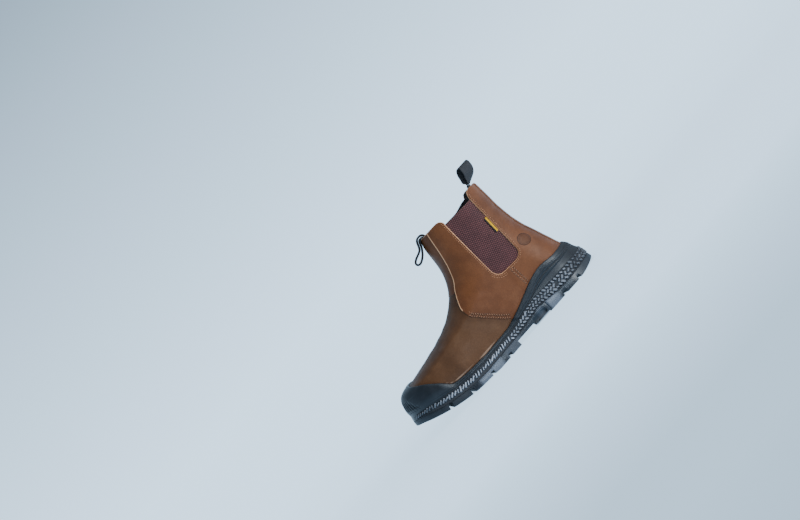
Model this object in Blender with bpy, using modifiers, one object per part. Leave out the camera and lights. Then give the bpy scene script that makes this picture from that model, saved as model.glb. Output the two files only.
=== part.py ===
"""Slip-on work boot with elastic side panels: a left boot standing empty on its sole.

The toe points to +X, the outer (lateral) side is +Y, up is +Z. Tables and sizes are in
millimetres, with x counted from the back of the sole; place() turns them into metres.
"""

import math
from bisect import bisect
from collections import namedtuple
from functools import lru_cache

import bmesh
import bpy
from mathutils import Vector

MM = 0.001
SOLE_LENGTH = 306.0
GAP = 0.4
# Middle of the sole's plan, which lies over the origin.
MIDDLE_X, MIDDLE_Y = 153.35, -4.7

# Wall of the upper: lining and vamp leather, then what each panel adds on the outside.
WALL = 2.2
STRIP_STEP = 0.9
QUARTER_STEP = 1.3
STEP_WIDTH = 0.9

# Bend of the last towards the inner side of the foot.
TOE_SHIFT = 8.0
BEND_START = 110.0

# Places along a section, as shares of its length, where its half widths are given.
HEEL_AT, WAIST_AT, BALL_AT = 0.16, 0.42, 0.69

# Sections of the last from the feather line to the collar. Each one is a closed loop through a
# point of the back line and a point of the front line; sag is how far it follows the footbed.
Section = namedtuple(
    "Section",
    "back_x back_z front_x front_z heel waist_out waist_in ball_out ball_in"
    " back_round front_round sag quarter_x",
)
SECTIONS = [
    Section(14.5, 33.0, 297.0, 38.0, 34.0, 36.0, 29.0, 48.0, 46.5, 36, 60, 1.00, 121.0),
    Section(15.3, 42.0, 298.4, 45.5, 35.5, 38.0, 33.5, 50.0, 49.0, 37, 62, 0.50, 134.5),
    Section(17.2, 49.0, 296.8, 54.5, 36.0, 38.0, 35.5, 47.0, 46.0, 37, 60, 0.25, 143.5),
    Section(18.5, 54.0, 291.0, 61.8, 36.0, 38.0, 36.5, 42.5, 42.0, 37, 56, 0.08, 150.5),
    Section(19.6, 58.5, 268.0, 66.3, 35.8, 38.0, 37.0, 40.5, 39.5, 37, 62, 0.00, 154.5),
    Section(21.0, 64.0, 232.0, 72.0, 35.5, 38.0, 37.0, 39.5, 38.5, 37, 66, 0.00, 159.4),
    Section(22.5, 70.0, 191.0, 82.6, 35.0, 38.0, 37.5, 39.0, 38.0, 37, 62, 0.00, 160.0),
    Section(25.5, 82.0, 158.5, 102.5, 35.0, 38.0, 37.5, 38.5, 38.0, 37, 56, 0.00, 148.5),
    Section(29.4, 96.0, 148.0, 115.0, 35.0, 38.5, 38.0, 38.0, 37.5, 37, 50, 0.00, 138.5),
    Section(31.9, 114.0, 140.0, 132.0, 35.5, 39.0, 38.5, 37.5, 37.0, 37, 46, 0.00, 130.4),
    Section(32.5, 135.0, 136.0, 150.0, 35.5, 39.5, 39.0, 37.0, 37.0, 36, 44, 0.00, 124.8),
    Section(31.3, 157.0, 133.4, 164.0, 36.0, 39.5, 39.5, 37.0, 37.0, 36, 43, 0.00, 121.0),
    Section(30.6, 175.5, 128.6, 177.0, 36.0, 39.5, 39.5, 37.0, 37.0, 36, 42, 0.00, 117.4),
]
GUSSET_LEVEL, THROAT_LEVEL, COLLAR_LEVEL = 6.0, 7.0, 12.0

# Elastic panel: straight edges from base to collar and the rounding of its lower corners.
GUSSET_REAR_BASE, GUSSET_REAR_TOP = 59.5, 50.5
GUSSET_FRONT_BASE, GUSSET_FRONT_TOP = 101.0, 94.5
GUSSET_CORNER = 11.0
GUSSET_TOP_LEVEL = 11.36
GUSSET_SINK, GUSSET_THICK = 0.6, 1.5
GUSSET_REAR_FEATHER, GUSSET_FRONT_FEATHER = 66.0, 97.0

# Heights along the side of the sole.
Side = namedtuple("Side", "x bottom joint texture groove rim footbed margin")
SIDES = [
    Side(0.0, 6.0, 11.0, 22.5, 34.0, 43.0, 33.0, 14.0),
    Side(14.0, 4.2, 10.6, 24.0, 35.0, 43.0, 33.0, 13.7),
    Side(33.0, 0.0, 10.2, 25.2, 36.5, 43.6, 33.0, 8.0),
    Side(57.0, 0.0, 10.3, 25.8, 38.8, 47.4, 32.6, 6.4),
    Side(73.0, 0.0, 11.8, 26.3, 36.4, 45.2, 31.4, 6.4),
    Side(95.0, 0.0, 15.2, 27.6, 29.8, 38.4, 28.0, 6.6),
    Side(118.0, 0.0, 13.0, 23.4, 24.4, 31.2, 23.8, 6.8),
    Side(143.0, 0.0, 10.8, 19.8, 20.6, 25.6, 20.2, 7.0),
    Side(179.0, 0.0, 10.2, 19.4, 20.2, 25.0, 18.5, 7.2),
    Side(192.0, 1.5, 10.0, 19.8, 20.6, 26.0, 18.6, 7.3),
    Side(216.0, 3.6, 11.6, 21.6, 22.4, 28.2, 20.6, 7.6),
    Side(232.0, 6.2, 14.2, 24.0, 25.0, 31.2, 22.9, 7.8),
    Side(246.0, 9.6, 17.4, 27.2, 29.0, 45.0, 25.6, 8.0),
    Side(260.0, 13.8, 21.2, 30.8, 33.0, 56.5, 28.8, 8.2),
    Side(277.0, 19.6, 27.2, 35.8, 38.0, 65.0, 33.0, 8.6),
    Side(290.0, 24.0, 31.4, 37.6, 40.5, 72.0, 36.2, 8.8),
    Side(306.0, 26.0, 33.5, 38.2, 41.5, 80.0, 40.2, 9.0),
]
RIM_SIDE, RIM_TOE = 2.2, 3.0
TOE_FROM, TOE_TO = 234.0, 272.0
BAND_INSET, GROOVE_DEPTH, PANEL_HOLLOW = 0.9, 1.2, 0.10
# The textured band runs out over this length before the tip of the toe.
BAND_END, BAND_FADE = 286.0, 8.0
# Lugs flare towards the floor: how far they stand out at their foot and at their top, and
# how far in and up their edges are taken off.
LUG_FOOT, LUG_TOP = 1.2, 0.4
EDGE_IN, EDGE_UP = 0.8, 1.2
# Extra room under the toe bumper, where its edge climbs across the columns.
TOE_SLACK, TOE_SLACK_FROM, TOE_SLACK_OVER = 0.7, 205.0, 25.0
CLIMB_SLACK, CLIMB_X, CLIMB_SPREAD = 1.9, 241.0, 14.0
TOP_SLACK_SHARE = 0.6
INNER_RINGS = 6
INSOLE_THICK, INSOLE_LEVEL, INSOLE_ROOM = 4.0, 0.08, 0.9

# Tread: chevron grooves (place at the side, width, reach from the middle), grooves along the
# middle (start, end), arch cuts (start, end, rise), the oval recess at the waist and the line
# down the side behind it.
GROOVE_RISE, MIDDLE_RISE, GROOVE_SWEEP, MIDDLE_GROOVE = 4.4, 4.2, 0.20, 4.0
CUTTER_TALL, CUTTER_WIDE, CHEVRON_TIP, CHEVRON_CROSS = 16.0, 160.0, 11.0, 1.5
CHEVRONS = [
    (29.5, 5.0, 64.0), (56.0, 6.5, 64.0), (159.0, 5.0, 64.0), (191.5, 4.5, 64.0),
    (225.0, 5.0, 64.0), (257.0, 5.0, 64.0), (43.0, 3.5, 27.0), (71.0, 3.5, 27.0),
    (177.0, 4.0, 34.0), (208.5, 4.0, 37.0), (241.5, 4.0, 34.0), (272.0, 4.0, 22.0),
]
MIDDLE_GROOVES = [(35.0, 83.0), (147.0, 188.0), (186.0, 224.0), (222.0, 256.0), (254.0, 284.0)]
ARCH_CUTS = [(87.5, 114.0, 2.4), (113.0, 142.5, 6.2)]
RECESS_X, RECESS_Z, RECESS_LONG, RECESS_TALL, RECESS_DEEP = 101.0, 6.9, 23.0, 6.8, 4.0
RECESS_SIDES, RECESS_OUT = 16, 6.0
LINE_X, LINE_WIDE, LINE_DEEP, LINE_STOP = 85.4, 1.4, 1.3, 1.2

# Back strip, flag label and the pull loops at the back and the front of the collar.
BACK_STRIP_HALF, BACK_STRIP_THICK = 12.0, 1.0
LABEL_CLEAR, LABEL_WIDE, LABEL_LOW, LABEL_HIGH, LABEL_THICK = 0.4, 4.2, 114.0, 136.0, 0.9
LOOP_HALF_WIDE, LOOP_THICK, LOOP_TWIST = 9.5, 1.8, math.radians(62)
# Middle line of the back loop (z, x) and half its gap by share of its height.
LOOP_LINE = [
    (158.0, 38.3), (172.0, 37.7), (177.5, 36.8), (180.5, 34.0), (185.0, 29.4), (190.0, 26.4),
    (196.0, 24.6), (201.0, 22.8),
]
LOOP_HALF_GAP = [(0.0, 0.3), (0.40, 0.3), (0.62, 4.2), (0.80, 6.2), (0.92, 5.2), (0.98, 2.8)]
# Heights between which the back loop turns sideways.
LOOP_TURN_LOW, LOOP_TURN_HIGH = 176.5, 185.0
# Middle line of the front loop, which hangs over the collar (x, z), and half its gap by row.
FRONT_LINE = [
    (122.4, 160.5), (122.4, 168.0), (122.4, 175.0), (123.1, 178.4), (125.6, 180.0),
    (128.9, 179.9), (131.6, 178.0), (133.6, 174.3), (136.2, 169.8), (141.0, 165.6),
    (147.3, 162.4), (153.4, 159.8),
]
FRONT_HALF_GAP = [(0.0, 0.25), (8.2, 0.25), (9.2, 1.4), (10.2, 2.4), (10.7, 1.9), (10.95, 0.8)]
FRONT_STEPS = 3

# Columns on each side of the upper, between its feature lines.
BACK_COLUMNS, HEEL_COLUMNS, GUSSET_COLUMNS, QUARTER_COLUMNS, VAMP_COLUMNS = 2, 5, 6, 4, 12
PER_SIDE = BACK_COLUMNS + HEEL_COLUMNS + GUSSET_COLUMNS + QUARTER_COLUMNS + 1 + VAMP_COLUMNS
AROUND = 2 * PER_SIDE
GUSSET_FIRST = BACK_COLUMNS + HEEL_COLUMNS
GUSSET_LAST = GUSSET_FIRST + GUSSET_COLUMNS
QUARTER_COLUMN = GUSSET_LAST + QUARTER_COLUMNS
TAB_CORNER = 6.0
TAB_DIP_FROM, TAB_DIP = 11, 0.62
UPPER_LEVELS = [
    0, 0.5, 1, 1.5, 2, 2.5, 3, 3.5, 4, 4.5, 5, 5.5, 6, 6.12, 6.35, 6.7, 7, 7.06,
    7.5, 8, 9, 10, 11, 11.5, 12,
]


def smooth_curve(stations, values):
    """The monotone cubic through values at stations, as a function of place."""
    gaps = [b - a for a, b in zip(stations, stations[1:])]
    rises = [(b - a) / gap for a, b, gap in zip(values, values[1:], gaps)]
    slopes = [rises[0]]
    for before, after in zip(rises, rises[1:]):
        turning = before * after <= 0
        slopes.append(0.0 if turning else 2 * before * after / (before + after))
    slopes.append(rises[-1])

    def at(place):
        i = min(max(bisect(stations, place) - 1, 0), len(gaps) - 1)
        gap = gaps[i]
        t = min(max((place - stations[i]) / gap, 0.0), 1.0)
        start = values[i] * (1 + 2 * t) * (1 - t) ** 2 + slopes[i] * gap * t * (1 - t) ** 2
        end = values[i + 1] * t * t * (3 - 2 * t) - slopes[i + 1] * gap * t * t * (1 - t)
        return start + end

    return at


def curves_of(rows, stations):
    """One smooth curve for each named column of a table."""
    return {
        name: smooth_curve(stations, [float(getattr(row, name)) for row in rows])
        for name in rows[0]._fields
    }


SECTION_CURVES = curves_of(SECTIONS, list(range(len(SECTIONS))))
SIDE_CURVES = curves_of(SIDES, [row.x for row in SIDES])


def ease(t):
    t = min(max(t, 0.0), 1.0)
    return t * t * (3 - 2 * t)


def mix(a, b, t):
    return a + (b - a) * t


@lru_cache(maxsize=None)
def section(level):
    """The section of the last at a level between the rows of its table."""
    return Section(*(SECTION_CURVES[name](level) for name in Section._fields))


def side_height(name, x):
    return SIDE_CURVES[name](x)


def centre_line(x):
    return -TOE_SHIFT * ease((x - BEND_START) / (SOLE_LENGTH - BEND_START))


def rounded_end(distance, reach):
    """Share of the full width at a distance from the rounded end of a section."""
    if distance >= reach:
        return 1.0
    return math.sqrt(max(0.0, 1 - (1 - distance / reach) ** 2))


def skin(level, x, outer):
    """Point of the vamp surface on one section, at x, on the outer or the inner side."""
    row = section(level)
    length = row.front_x - row.back_x
    share = min(max((x - row.back_x) / length, 0.0), 1.0)
    waist, ball = (row.waist_out, row.ball_out) if outer else (row.waist_in, row.ball_in)
    half = smooth_curve([HEEL_AT, WAIST_AT, BALL_AT], [row.heel, waist, ball])(share)
    half *= rounded_end(share * length, row.back_round)
    half *= rounded_end((1 - share) * length, row.front_round)
    chord = mix(row.back_z, row.front_z, share)
    first = SECTIONS[0]
    flat = mix(first.back_z, first.front_z, (x - first.back_x) / (first.front_x - first.back_x))
    z = chord + row.sag * (side_height("footbed", x) - flat)
    y = centre_line(x) + (half if outer else -half)
    return Vector((x, y, z))


@lru_cache(maxsize=None)
def gusset_edges(level):
    """x of the rear and front edge of the elastic panel's columns on one section."""
    middle = (GUSSET_REAR_BASE + GUSSET_FRONT_BASE) / 2
    base = skin(GUSSET_LEVEL, middle, True).z
    height = skin(level, middle, True).z - base
    full = skin(COLLAR_LEVEL, middle, True).z - base
    if level >= GUSSET_LEVEL:
        rear = mix(GUSSET_REAR_BASE, GUSSET_REAR_TOP, height / full)
        front = mix(GUSSET_FRONT_BASE, GUSSET_FRONT_TOP, height / full)
        drop = max(0.0, GUSSET_CORNER - height)
        corner = GUSSET_CORNER - math.sqrt(GUSSET_CORNER ** 2 - drop ** 2)
        return rear + corner, front - corner
    share = level / GUSSET_LEVEL
    rear = mix(GUSSET_REAR_FEATHER, GUSSET_REAR_BASE + GUSSET_CORNER, share)
    front = mix(GUSSET_FRONT_FEATHER, GUSSET_FRONT_BASE - GUSSET_CORNER, share)
    return rear, front


def strip_edge(level):
    """x of the back strip's edge on one section."""
    row = section(level)
    lean = math.asin(BACK_STRIP_HALF / row.heel)
    return row.back_x + row.back_round * (1 - math.cos(lean))


@lru_cache(maxsize=None)
def column_places(level):
    """x of every column of one side, from the back to the front of a section."""
    row = section(level)
    strip = strip_edge(level)
    rear, front = gusset_edges(level)
    quarter = row.quarter_x
    places = [row.back_x + (strip - row.back_x) * (k / BACK_COLUMNS) ** 2 for k in range(BACK_COLUMNS)]
    for k in range(HEEL_COLUMNS - 1):
        places.append(strip + (rear - TAB_CORNER - strip) * (k / (HEEL_COLUMNS - 1)) ** 1.6)
    places.append(rear - TAB_CORNER)
    places += [mix(rear, front, k / GUSSET_COLUMNS) for k in range(GUSSET_COLUMNS + 1)]
    start = front + TAB_CORNER
    for k in range(QUARTER_COLUMNS - 1):
        places.append(mix(start, quarter, k / (QUARTER_COLUMNS - 1)))
    places.append(quarter)
    first = quarter + STEP_WIDTH
    for k in range(VAMP_COLUMNS + 1):
        places.append(mix(first, row.front_x, math.sin(math.pi / 2 * k / VAMP_COLUMNS)))
    return places


def point(level, column):
    """Point of the vamp surface on a column counted round the boot from the back."""
    column %= AROUND
    outer = column <= PER_SIDE
    index = column if outer else AROUND - column
    return skin(level, column_places(level)[index], outer)


def normal(level, column):
    """Direction out of the vamp surface at a column."""
    low = max(level - 0.04, 0.0)
    high = min(level + 0.04, COLLAR_LEVEL)
    up = point(high, column) - point(low, column)
    along = point(level, column + 1) - point(level, column - 1)
    return up.cross(along).normalized()


def panel_step(level, column):
    """What the panels add to the wall: quarters over the front panel over the vamp."""
    column %= AROUND
    index = min(column, AROUND - column)
    if index <= QUARTER_COLUMN:
        return QUARTER_STEP
    return STRIP_STEP if level > THROAT_LEVEL + 0.01 else 0.0


def on_upper(level, column, lift):
    """Point at a height over the vamp surface."""
    return point(level, column) + normal(level, column) * lift


def over_upper(level, column, lift):
    """Point at a height over the outside of the upper, panels included."""
    return on_upper(level, column, panel_step(level, column) + lift)


def place(at):
    return Vector((at.x - MIDDLE_X, at.y - MIDDLE_Y, at.z)) * MM


def material(name, colour, roughness):
    made = bpy.data.materials.new(name)
    made.use_nodes = True
    shader = made.node_tree.nodes["Principled BSDF"]
    shader.inputs["Base Color"].default_value = (*colour, 1.0)
    shader.inputs["Roughness"].default_value = roughness
    made.diffuse_color = (*colour, 1.0)
    return made


def new_object(name, bm, collection, look=None):
    mesh = bpy.data.meshes.new(name)
    bm.to_mesh(mesh)
    bm.free()
    for face in mesh.polygons:
        face.use_smooth = True
    if look is not None:
        mesh.materials.append(look)
    obj = bpy.data.objects.new(name, mesh)
    collection.objects.link(obj)
    return obj


def add_quads(bm, rows, wrap):
    """Quads between neighbouring rows of vertices; the first row is the lowest."""
    for low, high in zip(rows, rows[1:]):
        count = len(low)
        for j in range(count if wrap else count - 1):
            k = (j + 1) % count
            bm.faces.new((low[j], high[j], high[k], low[k]))


def cap(bm, ring, facing_up):
    """Closes a ring of columns with strips from the outer to the inner side."""
    strips = [(ring[0], ring[1], ring[-1])]
    for j in range(1, PER_SIDE - 1):
        strips.append((ring[j], ring[j + 1], ring[AROUND - j - 1], ring[AROUND - j]))
    strips.append((ring[PER_SIDE - 1], ring[PER_SIDE], ring[PER_SIDE + 1]))
    for strip in strips:
        bm.faces.new(tuple(reversed(strip)) if facing_up else strip)


def loft(name, loops, collection, look):
    """Closed solid through rings of columns, capped below the first and above the last."""
    bm = bmesh.new()
    rows = [[bm.verts.new(place(at)) for at in loop] for loop in loops]
    add_quads(bm, rows, True)
    cap(bm, rows[0], False)
    cap(bm, rows[-1], True)
    bmesh.ops.triangulate(bm, faces=bm.faces[:], quad_method="SHORT_EDGE")
    return new_object(name, bm, collection, look)


def shell(name, rows, thick, collection, look):
    """Patch of rows of points, made solid outwards from them."""
    bm = bmesh.new()
    verts = [[bm.verts.new(place(at)) for at in row] for row in rows]
    add_quads(bm, verts, False)
    obj = new_object(name, bm, collection, look)
    solid = obj.modifiers.new("Thickness", "SOLIDIFY")
    solid.thickness = thick * MM
    solid.offset = 1.0
    return obj


def rim_level(column):
    """Level at which a column of the upper comes out of the rubber."""
    low, high = 0.0, GUSSET_LEVEL
    for _ in range(40):
        level = (low + high) / 2
        at = point(level, column)
        if at.z < side_height("rim", at.x):
            low = level
        else:
            high = level
    return (low + high) / 2


def toe_share(x):
    return ease((x - TOE_FROM) / (TOE_TO - TOE_FROM))


class SidePath:
    """The line up the side of the sole at one column: below the feather line it goes straight
    down to the joint, above it it follows the upper to the rubber's edge."""

    STEPS = 16

    def __init__(self, column):
        foot = point(0.0, column)
        out = normal(0.0, column)
        flat = Vector((out.x, out.y, 0.0)).normalized()
        self.x = foot.x
        self.joint = side_height("joint", foot.x)
        self.rim = rim_level(column)
        self.toe = toe_share(foot.x)
        low = Vector((foot.x, foot.y, self.joint))
        self.stops = [(0.0, low, flat)]
        length = foot.z - self.joint
        last = foot
        for k in range(self.STEPS + 1):
            level = self.rim * k / self.STEPS
            at = over_upper(level, column, 0.0) if k else foot
            length += (at - last).length if k else 0.0
            last = at
            out = normal(level, column)
            self.stops.append((length, at, flat.lerp(out, k / self.STEPS).normalized()))
        self.total = length

    def at(self, length):
        for (l0, p0, n0), (l1, p1, n1) in zip(self.stops, self.stops[1:]):
            if length <= l1:
                t = (length - l0) / max(l1 - l0, 1e-6)
                return p0.lerp(p1, t), n0.lerp(n1, t).normalized()
        return self.stops[-1][1], self.stops[-1][2]

    def margin(self, length):
        """Thickness of rubber outside the path."""
        t = min(max(length / self.total, 0.0), 1.0)
        rim = mix(RIM_SIDE, RIM_TOE, self.toe)
        low = side_height("margin", self.x)
        return rim + (low - rim) * mix(1 - t ** 1.8, (1 - t) ** 3, self.toe)

    def outside(self, length, inset=0.0):
        at, out = self.at(length)
        return at + out * (self.margin(length) - inset)


PATHS = [SidePath(column) for column in range(AROUND)]


def side_stops(path):
    """(length up the side, inset) of the edges of the textured band, hollow, groove and bead."""
    texture = side_height("texture", path.x) - path.joint
    groove = side_height("groove", path.x) - path.joint
    band = BAND_INSET * (1 - ease((path.x - BAND_END) / BAND_FADE))
    cut = GROOVE_DEPTH * (1 - path.toe)
    lower = max(groove - 1.0, texture + 0.4)
    deep = lower + 0.9
    upper = deep + 0.9
    hollow = (lower - texture) * PANEL_HOLLOW
    top = path.total
    edges = [
        (0.0, 0.0),
        (0.7, band),
        (texture - 0.7, band),
        (texture, 0.0),
        ((texture + lower) / 2, hollow),
        (lower, 0.0),
        (deep, cut),
        (upper, 0.0),
    ]
    for share in (0.22, 0.42, 0.6, 0.76, 0.9):
        edges.append((mix(upper, top, share), 0.0))
    edges.append((top, 0.9))
    return edges


def make_midsole(collection, look):
    stops = [side_stops(path) for path in PATHS]
    loops = []
    for k in range(len(stops[0])):
        loops.append([path.outside(*stop[k]) for path, stop in zip(PATHS, stops)])
    for k in range(INNER_RINGS, -1, -1):
        loop = []
        for j, path in enumerate(PATHS):
            slack = TOE_SLACK * ease((path.x - TOE_SLACK_FROM) / TOE_SLACK_OVER)
            slack += CLIMB_SLACK * math.exp(-(((path.x - CLIMB_X) / CLIMB_SPREAD) ** 2))
            slack *= 1.0 if k < INNER_RINGS else TOP_SLACK_SHARE
            loop.append(over_upper(path.rim * k / INNER_RINGS, j, GAP + slack))
        loops.append(loop)
    for at in loops[-1]:
        at.z -= GAP
    return loft("midsole", loops, collection, look)


def sole_ring(grow, height):
    """Ring round the tread plate at its edge plus grow; height gives z for an x."""
    ring = []
    for path in PATHS:
        at = path.outside(0.0, -grow)
        ring.append(Vector((at.x, at.y, height(path.x))))
    return ring


def box_cutter(name, centre, size, turn, cutters):
    bm = bmesh.new()
    bmesh.ops.create_cube(bm, size=1.0)
    obj = new_object(name, bm, cutters)
    obj.location = place(centre)
    obj.scale = size * MM
    obj.rotation_euler = turn
    return obj


def slot_cutter(name, centre, cutters):
    """Rounded slot lying along X that goes into the side of the sole."""
    bm = bmesh.new()
    radius = RECESS_TALL / 2
    reach = RECESS_LONG / 2 - radius
    rings = []
    for y in (-RECESS_DEEP, RECESS_DEEP + RECESS_OUT):
        ring = []
        for k in range(RECESS_SIDES):
            angle = 2 * math.pi * k / RECESS_SIDES
            x = radius * math.cos(angle) + math.copysign(reach, math.cos(angle) or 1.0)
            at = centre + Vector((x, math.copysign(1.0, centre.y) * y, radius * math.sin(angle)))
            ring.append(bm.verts.new(place(at)))
        rings.append(ring)
    add_quads(bm, rings, True)
    bm.faces.new(rings[0])
    bm.faces.new(rings[1])
    bmesh.ops.recalc_face_normals(bm, faces=bm.faces[:])
    return new_object(name, bm, cutters)


def hide_cutters(cutters):
    for obj in cutters.objects:
        obj.hide_render = True
        obj.display_type = "WIRE"


def side_edge(x, outer):
    """y of the tread plate's edge at x, on the outer or the inner side."""
    columns = range(PER_SIDE) if outer else range(PER_SIDE, AROUND)
    near = min(columns, key=lambda j: abs(PATHS[j].x - x))
    return PATHS[near].outside(0.0, -LUG_TOP).y


def make_outsole(collection, cutters, look):
    rings = [
        sole_ring(LUG_FOOT - EDGE_IN, lambda x: side_height("bottom", x)),
        sole_ring(LUG_FOOT, lambda x: side_height("bottom", x) + EDGE_UP),
        sole_ring(LUG_TOP, lambda x: side_height("joint", x) - GAP - EDGE_UP),
        sole_ring(LUG_TOP - EDGE_IN, lambda x: side_height("joint", x) - GAP),
    ]
    outsole = loft("outsole", rings, collection, look)
    cuts = []
    for number, (x, wide, long) in enumerate(CHEVRONS):
        slope = (side_height("bottom", x + 6) - side_height("bottom", x - 6)) / 12
        for outer in (1, -1):
            sweep = math.atan(GROOVE_SWEEP) * outer
            back = CHEVRON_TIP - 0.5 * long * math.sin(abs(sweep))
            middle = Vector((x + back, outer * (long / 2 - CHEVRON_CROSS), 0.0))
            middle.y += centre_line(x)
            middle.z = side_height("bottom", middle.x) + GROOVE_RISE - CUTTER_TALL / 2
            cuts.append(
                box_cutter(
                    f"tread_groove_{number}_{'out' if outer > 0 else 'in'}",
                    middle,
                    Vector((wide, long, CUTTER_TALL)),
                    (0.0, -math.atan(slope), sweep),
                    cutters,
                )
            )
    for number, (start, end) in enumerate(MIDDLE_GROOVES):
        x = (start + end) / 2
        slope = (side_height("bottom", end) - side_height("bottom", start)) / (end - start)
        drift = (centre_line(end) - centre_line(start)) / (end - start)
        cuts.append(
            box_cutter(
                f"middle_groove_{number}",
                Vector((x, centre_line(x), side_height("bottom", x) + MIDDLE_RISE - CUTTER_TALL / 2)),
                Vector((end - start, MIDDLE_GROOVE, CUTTER_TALL)),
                (0.0, -math.atan(slope), math.atan(drift)),
                cutters,
            )
        )
    for number, (start, end, rise) in enumerate(ARCH_CUTS):
        cuts.append(
            box_cutter(
                f"arch_cut_{number}",
                Vector(((start + end) / 2, 0.0, rise - CUTTER_TALL / 2)),
                Vector((end - start, CUTTER_WIDE, CUTTER_TALL)),
                (0.0, 0.0, 0.0),
                cutters,
            )
        )
    for side, outer in (("out", True), ("in", False)):
        edge = side_edge(RECESS_X, outer)
        cuts.append(slot_cutter(f"recess_{side}", Vector((RECESS_X, edge, RECESS_Z)), cutters))
        edge = side_edge(LINE_X, outer)
        top = side_height("joint", LINE_X) - LINE_STOP
        cuts.append(
            box_cutter(
                f"shank_line_{side}",
                Vector((LINE_X, edge, top - CUTTER_TALL / 2)),
                Vector((LINE_WIDE, 2 * LINE_DEEP, CUTTER_TALL)),
                (0.0, 0.0, 0.0),
                cutters,
            )
        )
    for cutter in cuts:
        cut = outsole.modifiers.new(cutter.name, "BOOLEAN")
        cut.operation = "DIFFERENCE"
        cut.solver = "EXACT"
        cut.object = cutter
    return outsole


def make_upper(collection, look):
    """Open lining surface, then Solidify outwards with each panel's own thickness."""
    bm = bmesh.new()
    layer = bm.verts.layers.deform.new()
    most = WALL + QUARTER_STEP
    rows = []
    for level in UPPER_LEVELS:
        row = []
        for column in range(AROUND):
            index = min(column, AROUND - column)
            own = level
            if level > TAB_DIP_FROM and index in (GUSSET_FIRST, GUSSET_LAST):
                own = mix(TAB_DIP_FROM, level, TAB_DIP)
            vert = bm.verts.new(place(on_upper(own, column, -WALL)))
            vert[layer][0] = (WALL + panel_step(level, column)) / most
            row.append(vert)
        rows.append(row)
    for i, (low, high) in enumerate(zip(rows, rows[1:])):
        for j in range(AROUND):
            k = (j + 1) % AROUND
            index = min(j, AROUND - 1 - j)
            if UPPER_LEVELS[i] >= GUSSET_LEVEL and GUSSET_FIRST <= index < GUSSET_LAST:
                continue
            bm.faces.new((low[j], high[j], high[k], low[k]))
    loose = [v for v in bm.verts if not v.link_faces]
    bmesh.ops.delete(bm, geom=loose, context="VERTS")
    obj = new_object("upper", bm, collection, look)
    obj.vertex_groups.new(name="panel thickness")
    solid = obj.modifiers.new("Thickness", "SOLIDIFY")
    solid.thickness = most * MM
    solid.offset = 1.0
    solid.vertex_group = "panel thickness"
    return obj


def make_gusset(name, outer, collection, look):
    levels = [6, 6.12, 6.35, 6.7, 7, 7.5, 8, 9, 10, 11, GUSSET_TOP_LEVEL]
    rows = []
    for level in levels:
        row = []
        for k in range(GUSSET_COLUMNS + 1):
            index = GUSSET_FIRST + k
            column = index if outer else AROUND - index
            at = on_upper(level, column, -GUSSET_SINK - GUSSET_THICK)
            if k in (0, GUSSET_COLUMNS):
                at.x += GAP * 1.3 if k == 0 else -GAP * 1.3
            if level == 6:
                at.z += GAP * 1.3
            row.append(at)
        rows.append(row if outer else row[::-1])
    return shell(name, rows, GUSSET_THICK, collection, look)


def make_back_strip(collection, look):
    columns = list(range(AROUND - BACK_COLUMNS, AROUND)) + list(range(BACK_COLUMNS + 1))
    lowest = [PATHS[j % AROUND].rim + 0.16 for j in columns]
    rows = []
    for share in (0, 0.1, 0.2, 0.3, 0.4, 0.5, 0.6, 0.7, 0.8, 0.9, 0.97):
        row = []
        for start, j in zip(lowest, columns):
            row.append(over_upper(mix(start, COLLAR_LEVEL, share), j, GAP))
        rows.append(row)
    return shell("back_strip", rows, BACK_STRIP_THICK, collection, look)


def level_at(z, x, outer):
    low, high = 0.0, COLLAR_LEVEL
    for _ in range(40):
        level = (low + high) / 2
        if skin(level, x, outer).z < z:
            low = level
        else:
            high = level
    return (low + high) / 2


def make_label(collection, look):
    rows = []
    for k in range(5):
        row = []
        z = mix(LABEL_LOW, LABEL_HIGH, k / 4)
        start = gusset_edges(level_at(z, GUSSET_REAR_BASE, True))[0] + LABEL_CLEAR
        for x in (start, start + LABEL_WIDE / 2, start + LABEL_WIDE):
            level = level_at(z, x, True)
            row.append(skin(level, x, True) + Vector((0.0, GAP + 0.1 - GUSSET_SINK, 0.0)))
        rows.append(row)
    return shell("side_label", rows, LABEL_THICK, collection, look)


def make_pull_loop(collection, look):
    """Ribbon that stands in the back of the collar, turned and leaning back above it."""
    shares = [s for s, _ in LOOP_HALF_GAP]
    gap_at = smooth_curve(shares, [g for _, g in LOOP_HALF_GAP])
    x_at = smooth_curve([z for z, _ in LOOP_LINE], [x for _, x in LOOP_LINE])
    low, high = LOOP_LINE[0][0], LOOP_LINE[-1][0]
    heights = [0.0, 0.2, 0.36, 0.42, 0.47, 0.52, 0.57, 0.62, 0.68, 0.74, 0.8, 0.86, 0.92, 0.98]
    path = [(h, gap_at(h)) for h in heights]
    path += [(1.0, 0.0)]
    path += [(h, -gap_at(h)) for h in reversed(heights)]
    rows = []
    for share, offset in path:
        z = mix(low, high, share)
        turn = LOOP_TWIST * ease((z - LOOP_TURN_LOW) / (LOOP_TURN_HIGH - LOOP_TURN_LOW))
        centre = Vector((x_at(z), 0.0, z))
        across = Vector((math.sin(turn), math.cos(turn), 0.0))
        away = Vector((-math.cos(turn), math.sin(turn), 0.0))
        half = LOOP_HALF_WIDE
        rows.append([centre + away * offset + across * half * s for s in (-1.0, 0.0, 1.0)])
    return shell("pull_loop", rows, LOOP_THICK, collection, look)


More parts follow.
